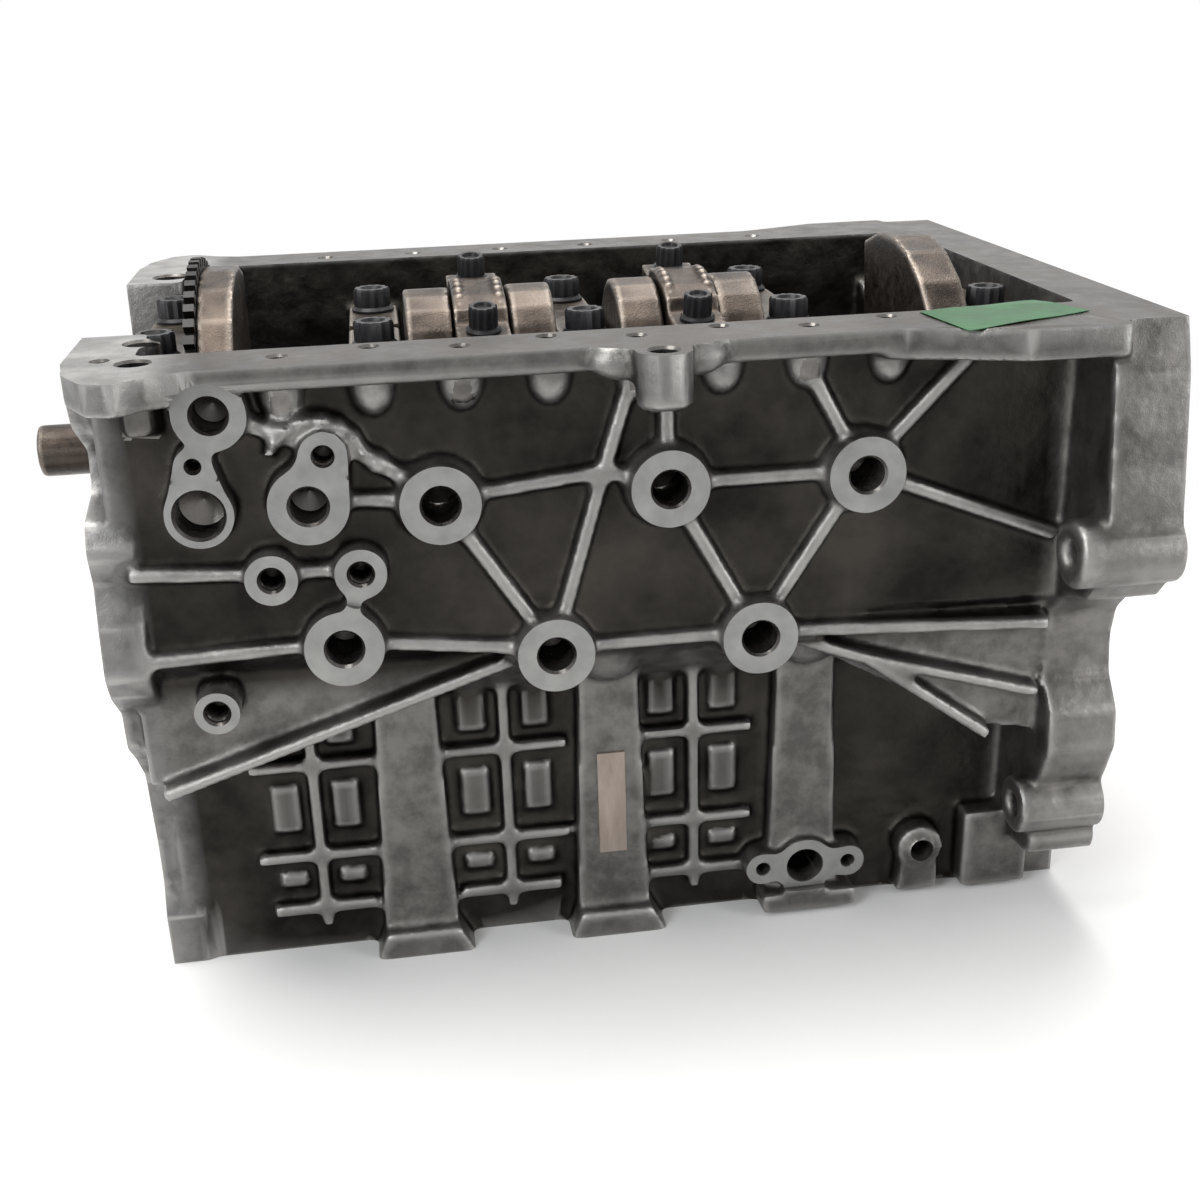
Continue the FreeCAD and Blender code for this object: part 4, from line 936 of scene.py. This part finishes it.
def make_floor(settings):
    """A pale floor that keeps the shadow near the block and fades into the white background."""
    bm = bmesh.new()
    bmesh.ops.create_grid(bm, x_segments=40, y_segments=40, size=4.0)
    for vert in bm.verts:
        vert.co.z = -0.0002
    floor = to_object(bm, "floor")
    material, tree, shader = new_material("pale_floor")
    place = tree.nodes.new("ShaderNodeTexCoord").outputs["Object"]
    colour = blend(tree, noise(tree, place, 8.0), (0.86, 0.86, 0.86), (0.9, 0.9, 0.9))
    tree.links.new(colour, shader.inputs["Base Color"])
    shader.inputs["Roughness"].default_value = 0.9
    away = tree.nodes.new("ShaderNodeVectorMath")
    away.operation = "LENGTH"
    tree.links.new(place, away.inputs[0])
    fade = span(tree, away.outputs["Value"], 0.35, 0.75, 0.0, 1.0)
    both = tree.nodes.new("ShaderNodeMath")
    both.operation = "MULTIPLY"
    tree.links.new(fade, both.inputs[0])
    tree.links.new(seen_directly(tree, "Is Camera Ray", "Is Glossy Ray"), both.inputs[1])
    glow = tree.nodes.new("ShaderNodeEmission")
    glow.inputs["Color"].default_value = (1.0, 1.0, 1.0, 1.0)
    mix = tree.nodes.new("ShaderNodeMixShader")
    output = [node for node in tree.nodes if node.bl_idname == "ShaderNodeOutputMaterial"][0]
    tree.links.new(both.outputs[0], mix.inputs["Fac"])
    tree.links.new(shader.outputs["BSDF"], mix.inputs[1])
    tree.links.new(glow.outputs[0], mix.inputs[2])
    tree.links.new(mix.outputs[0], output.inputs["Surface"])
    dress(floor, material)


def make_stage(settings):
    """Camera, world, floor and lamps."""
    make_camera(settings)
    make_world(settings)
    make_floor(settings)
    area_light("overhead", (-0.1, 0.15, 1.25), (0, 0, 0.2), (1.6, 0.7), settings.overhead, (1.0, 0.99, 0.97))
    area_light("front_left", (-1.1, -1.1, 0.9), (0, 0, 0.15), (0.5, 0.9), settings.side, (0.97, 0.99, 1.0))
    area_light("front_right", (1.3, -0.9, 0.5), (0, 0, 0.15), (0.4, 0.9), settings.side * 0.6)
    scene = bpy.context.scene
    scene.view_settings.view_transform = "Standard"


# ---------------------------------------------------------------- settings

class BlockSettings(bpy.types.PropertyGroup):
    voxel: bpy.props.FloatProperty(name="Grid", description="Size of the even mesh",
                                   default=0.0016, unit="LENGTH")
    rounding: bpy.props.IntProperty(name="Rounding", description="Passes that round the cast edges",
                                    default=9)
    triangles: bpy.props.IntProperty(name="Triangles", description="Most triangles of the casting",
                                     default=170000)
    stock: bpy.props.FloatProperty(name="Stock", description="Metal milled off each face",
                                   default=0.004, unit="LENGTH")


class BoltSettings(bpy.types.PropertyGroup):
    seed: bpy.props.IntProperty(name="Seed", description="How the heads happen to be turned", default=7)


class CapSettings(bpy.types.PropertyGroup):
    voxel: bpy.props.FloatProperty(name="Grid", description="Size of the even mesh",
                                   default=0.0008, unit="LENGTH")
    rounding: bpy.props.IntProperty(name="Rounding", description="Passes that round the edges",
                                    default=5)


class CrankSettings(bpy.types.PropertyGroup):
    voxel: bpy.props.FloatProperty(name="Grid", description="Size of the even mesh",
                                   default=0.0014, unit="LENGTH")
    rounding: bpy.props.IntProperty(name="Rounding", description="Passes that round the edges",
                                    default=4)
    triangles: bpy.props.IntProperty(name="Triangles", description="Most triangles of the crankshaft",
                                     default=70000)


class RodSettings(bpy.types.PropertyGroup):
    eye: bpy.props.FloatProperty(name="Eye", description="Radius of the small end's bore",
                                 default=0.0114, unit="LENGTH")
    voxel: bpy.props.FloatProperty(name="Grid", description="Size of the even mesh",
                                   default=0.0009, unit="LENGTH")
    rounding: bpy.props.IntProperty(name="Rounding", description="Passes that round the edges",
                                    default=4)


class FilmSettings(bpy.types.PropertyGroup):
    lift: bpy.props.FloatProperty(name="Lift", description="How far the sheet stands off",
                                  default=0.0005, unit="LENGTH")


class PlateSettings(bpy.types.PropertyGroup):
    along: bpy.props.FloatProperty(name="Along", description="Middle of the plate",
                                   default=0.0, unit="LENGTH")
    foot: bpy.props.FloatProperty(name="Foot", description="Height of its lower end",
                                  default=0.040, unit="LENGTH")
    width: bpy.props.FloatProperty(name="Width", description="Width of the plate",
                                   default=0.0125, unit="LENGTH")
    height: bpy.props.FloatProperty(name="Height", description="Length of the plate",
                                    default=0.050, unit="LENGTH")


class StageSettings(bpy.types.PropertyGroup):
    lens: bpy.props.FloatProperty(name="Lens", description="Focal length in millimetres", default=45.39)
    eye: bpy.props.FloatVectorProperty(name="Eye", description="Where the camera stands", subtype="XYZ",
                                       default=(-0.08416, -0.66916, 0.39714))
    heading: bpy.props.FloatProperty(name="Heading", description="Turn of the camera about the upright",
                                     default=math.radians(-7.869), subtype="ANGLE")
    tilt: bpy.props.FloatProperty(name="Tilt", description="How far the camera looks down",
                                  default=math.radians(-21.514), subtype="ANGLE")
    roll: bpy.props.FloatProperty(name="Roll", description="Turn of the camera about its line of sight",
                                  default=math.radians(-1.752), subtype="ANGLE")
    ambient: bpy.props.FloatProperty(name="Ambient", description="Strength of the light all round",
                                     default=0.45)
    overhead: bpy.props.FloatProperty(name="Overhead", description="Power of the lamp above",
                                      default=30.0)
    side: bpy.props.FloatProperty(name="Side", description="Power of the side lamps", default=12.0)


# ---------------------------------------------------------------- operators

class OBJECT_OT_short_block_casting(bpy.types.Operator):
    """Makes the cylinder block's casting with its machined faces and holes"""
    bl_idname = "object.short_block_casting"
    bl_label = "Cylinder block"

    def execute(self, context):
        make_block(context.scene.short_block)
        return {"FINISHED"}


class OBJECT_OT_short_block_caps(bpy.types.Operator):
    """Makes the five main bearing caps"""
    bl_idname = "object.short_block_caps"
    bl_label = "Main caps"

    def execute(self, context):
        make_main_caps(context.scene.short_block_caps)
        return {"FINISHED"}


class OBJECT_OT_short_block_bolts(bpy.types.Operator):
    """Makes the bolts of the main caps and of the rods"""
    bl_idname = "object.short_block_bolts"
    bl_label = "Cap and rod bolts"

    def execute(self, context):
        make_cap_bolts(context.scene.short_block_bolts)
        make_rod_bolts(context.scene.short_block_bolts)
        return {"FINISHED"}


class OBJECT_OT_short_block_crank(bpy.types.Operator):
    """Makes the crankshaft and finishes its speed wheel"""
    bl_idname = "object.short_block_crank"
    bl_label = "Crankshaft"

    def execute(self, context):
        make_crank(context.scene.short_block_crank)
        return {"FINISHED"}


class OBJECT_OT_short_block_rods(bpy.types.Operator):
    """Makes the four rods with their caps, and finishes the pistons"""
    bl_idname = "object.short_block_rods"
    bl_label = "Rods"

    def execute(self, context):
        make_rods(context.scene.short_block_rods)
        return {"FINISHED"}


class OBJECT_OT_short_block_film(bpy.types.Operator):
    """Makes the green film on the sump rail"""
    bl_idname = "object.short_block_film"
    bl_label = "Rail film"

    def execute(self, context):
        make_film(context.scene.short_block_film)
        return {"FINISHED"}


class OBJECT_OT_short_block_plate(bpy.types.Operator):
    """Makes the bare plate on the middle column"""
    bl_idname = "object.short_block_plate"
    bl_label = "Bare plate"

    def execute(self, context):
        make_plate(context.scene.short_block_plate)
        return {"FINISHED"}


class OBJECT_OT_short_block_stage(bpy.types.Operator):
    """Makes the floor, the lamps and the camera"""
    bl_idname = "object.short_block_stage"
    bl_label = "Stage"

    def execute(self, context):
        make_stage(context.scene.short_block_stage)
        return {"FINISHED"}


STEPS = (
    (OBJECT_OT_short_block_casting, "short_block", BlockSettings),
    (OBJECT_OT_short_block_caps, "short_block_caps", CapSettings),
    (OBJECT_OT_short_block_bolts, "short_block_bolts", BoltSettings),
    (OBJECT_OT_short_block_crank, "short_block_crank", CrankSettings),
    (OBJECT_OT_short_block_rods, "short_block_rods", RodSettings),
    (OBJECT_OT_short_block_film, "short_block_film", FilmSettings),
    (OBJECT_OT_short_block_plate, "short_block_plate", PlateSettings),
    (OBJECT_OT_short_block_stage, "short_block_stage", StageSettings),
)


class VIEW3D_PT_short_block(bpy.types.Panel):
    """The short block's pieces, in the order they are made"""
    bl_idname = "VIEW3D_PT_short_block"
    bl_label = "Short block"
    bl_space_type = "VIEW_3D"
    bl_region_type = "UI"
    bl_category = "Short block"

    def draw(self, context):
        for operator, key, group in STEPS:
            column = self.layout.column(align=True)
            for name in group.__annotations__:
                column.prop(getattr(context.scene, key), name)
            column.operator(operator.bl_idname)


def register():
    """Registers settings, operators and panel, and makes the materials."""
    for operator, key, group in STEPS:
        bpy.utils.register_class(group)
        setattr(bpy.types.Scene, key, bpy.props.PointerProperty(type=group))
        bpy.utils.register_class(operator)
    bpy.utils.register_class(VIEW3D_PT_short_block)
    MATERIALS.update(make_materials())


def unregister():
    """Takes the panel, operators and settings away."""
    bpy.utils.unregister_class(VIEW3D_PT_short_block)
    for operator, key, group in reversed(STEPS):
        bpy.utils.unregister_class(operator)
        delattr(bpy.types.Scene, key)
        bpy.utils.unregister_class(group)


def main():
    """Makes every piece in order."""
    register()
    for operator, key, group in STEPS:
        category, name = operator.bl_idname.split(".")
        getattr(getattr(bpy.ops, category), name)()
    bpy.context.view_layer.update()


if __name__ == "__main__":
    main()
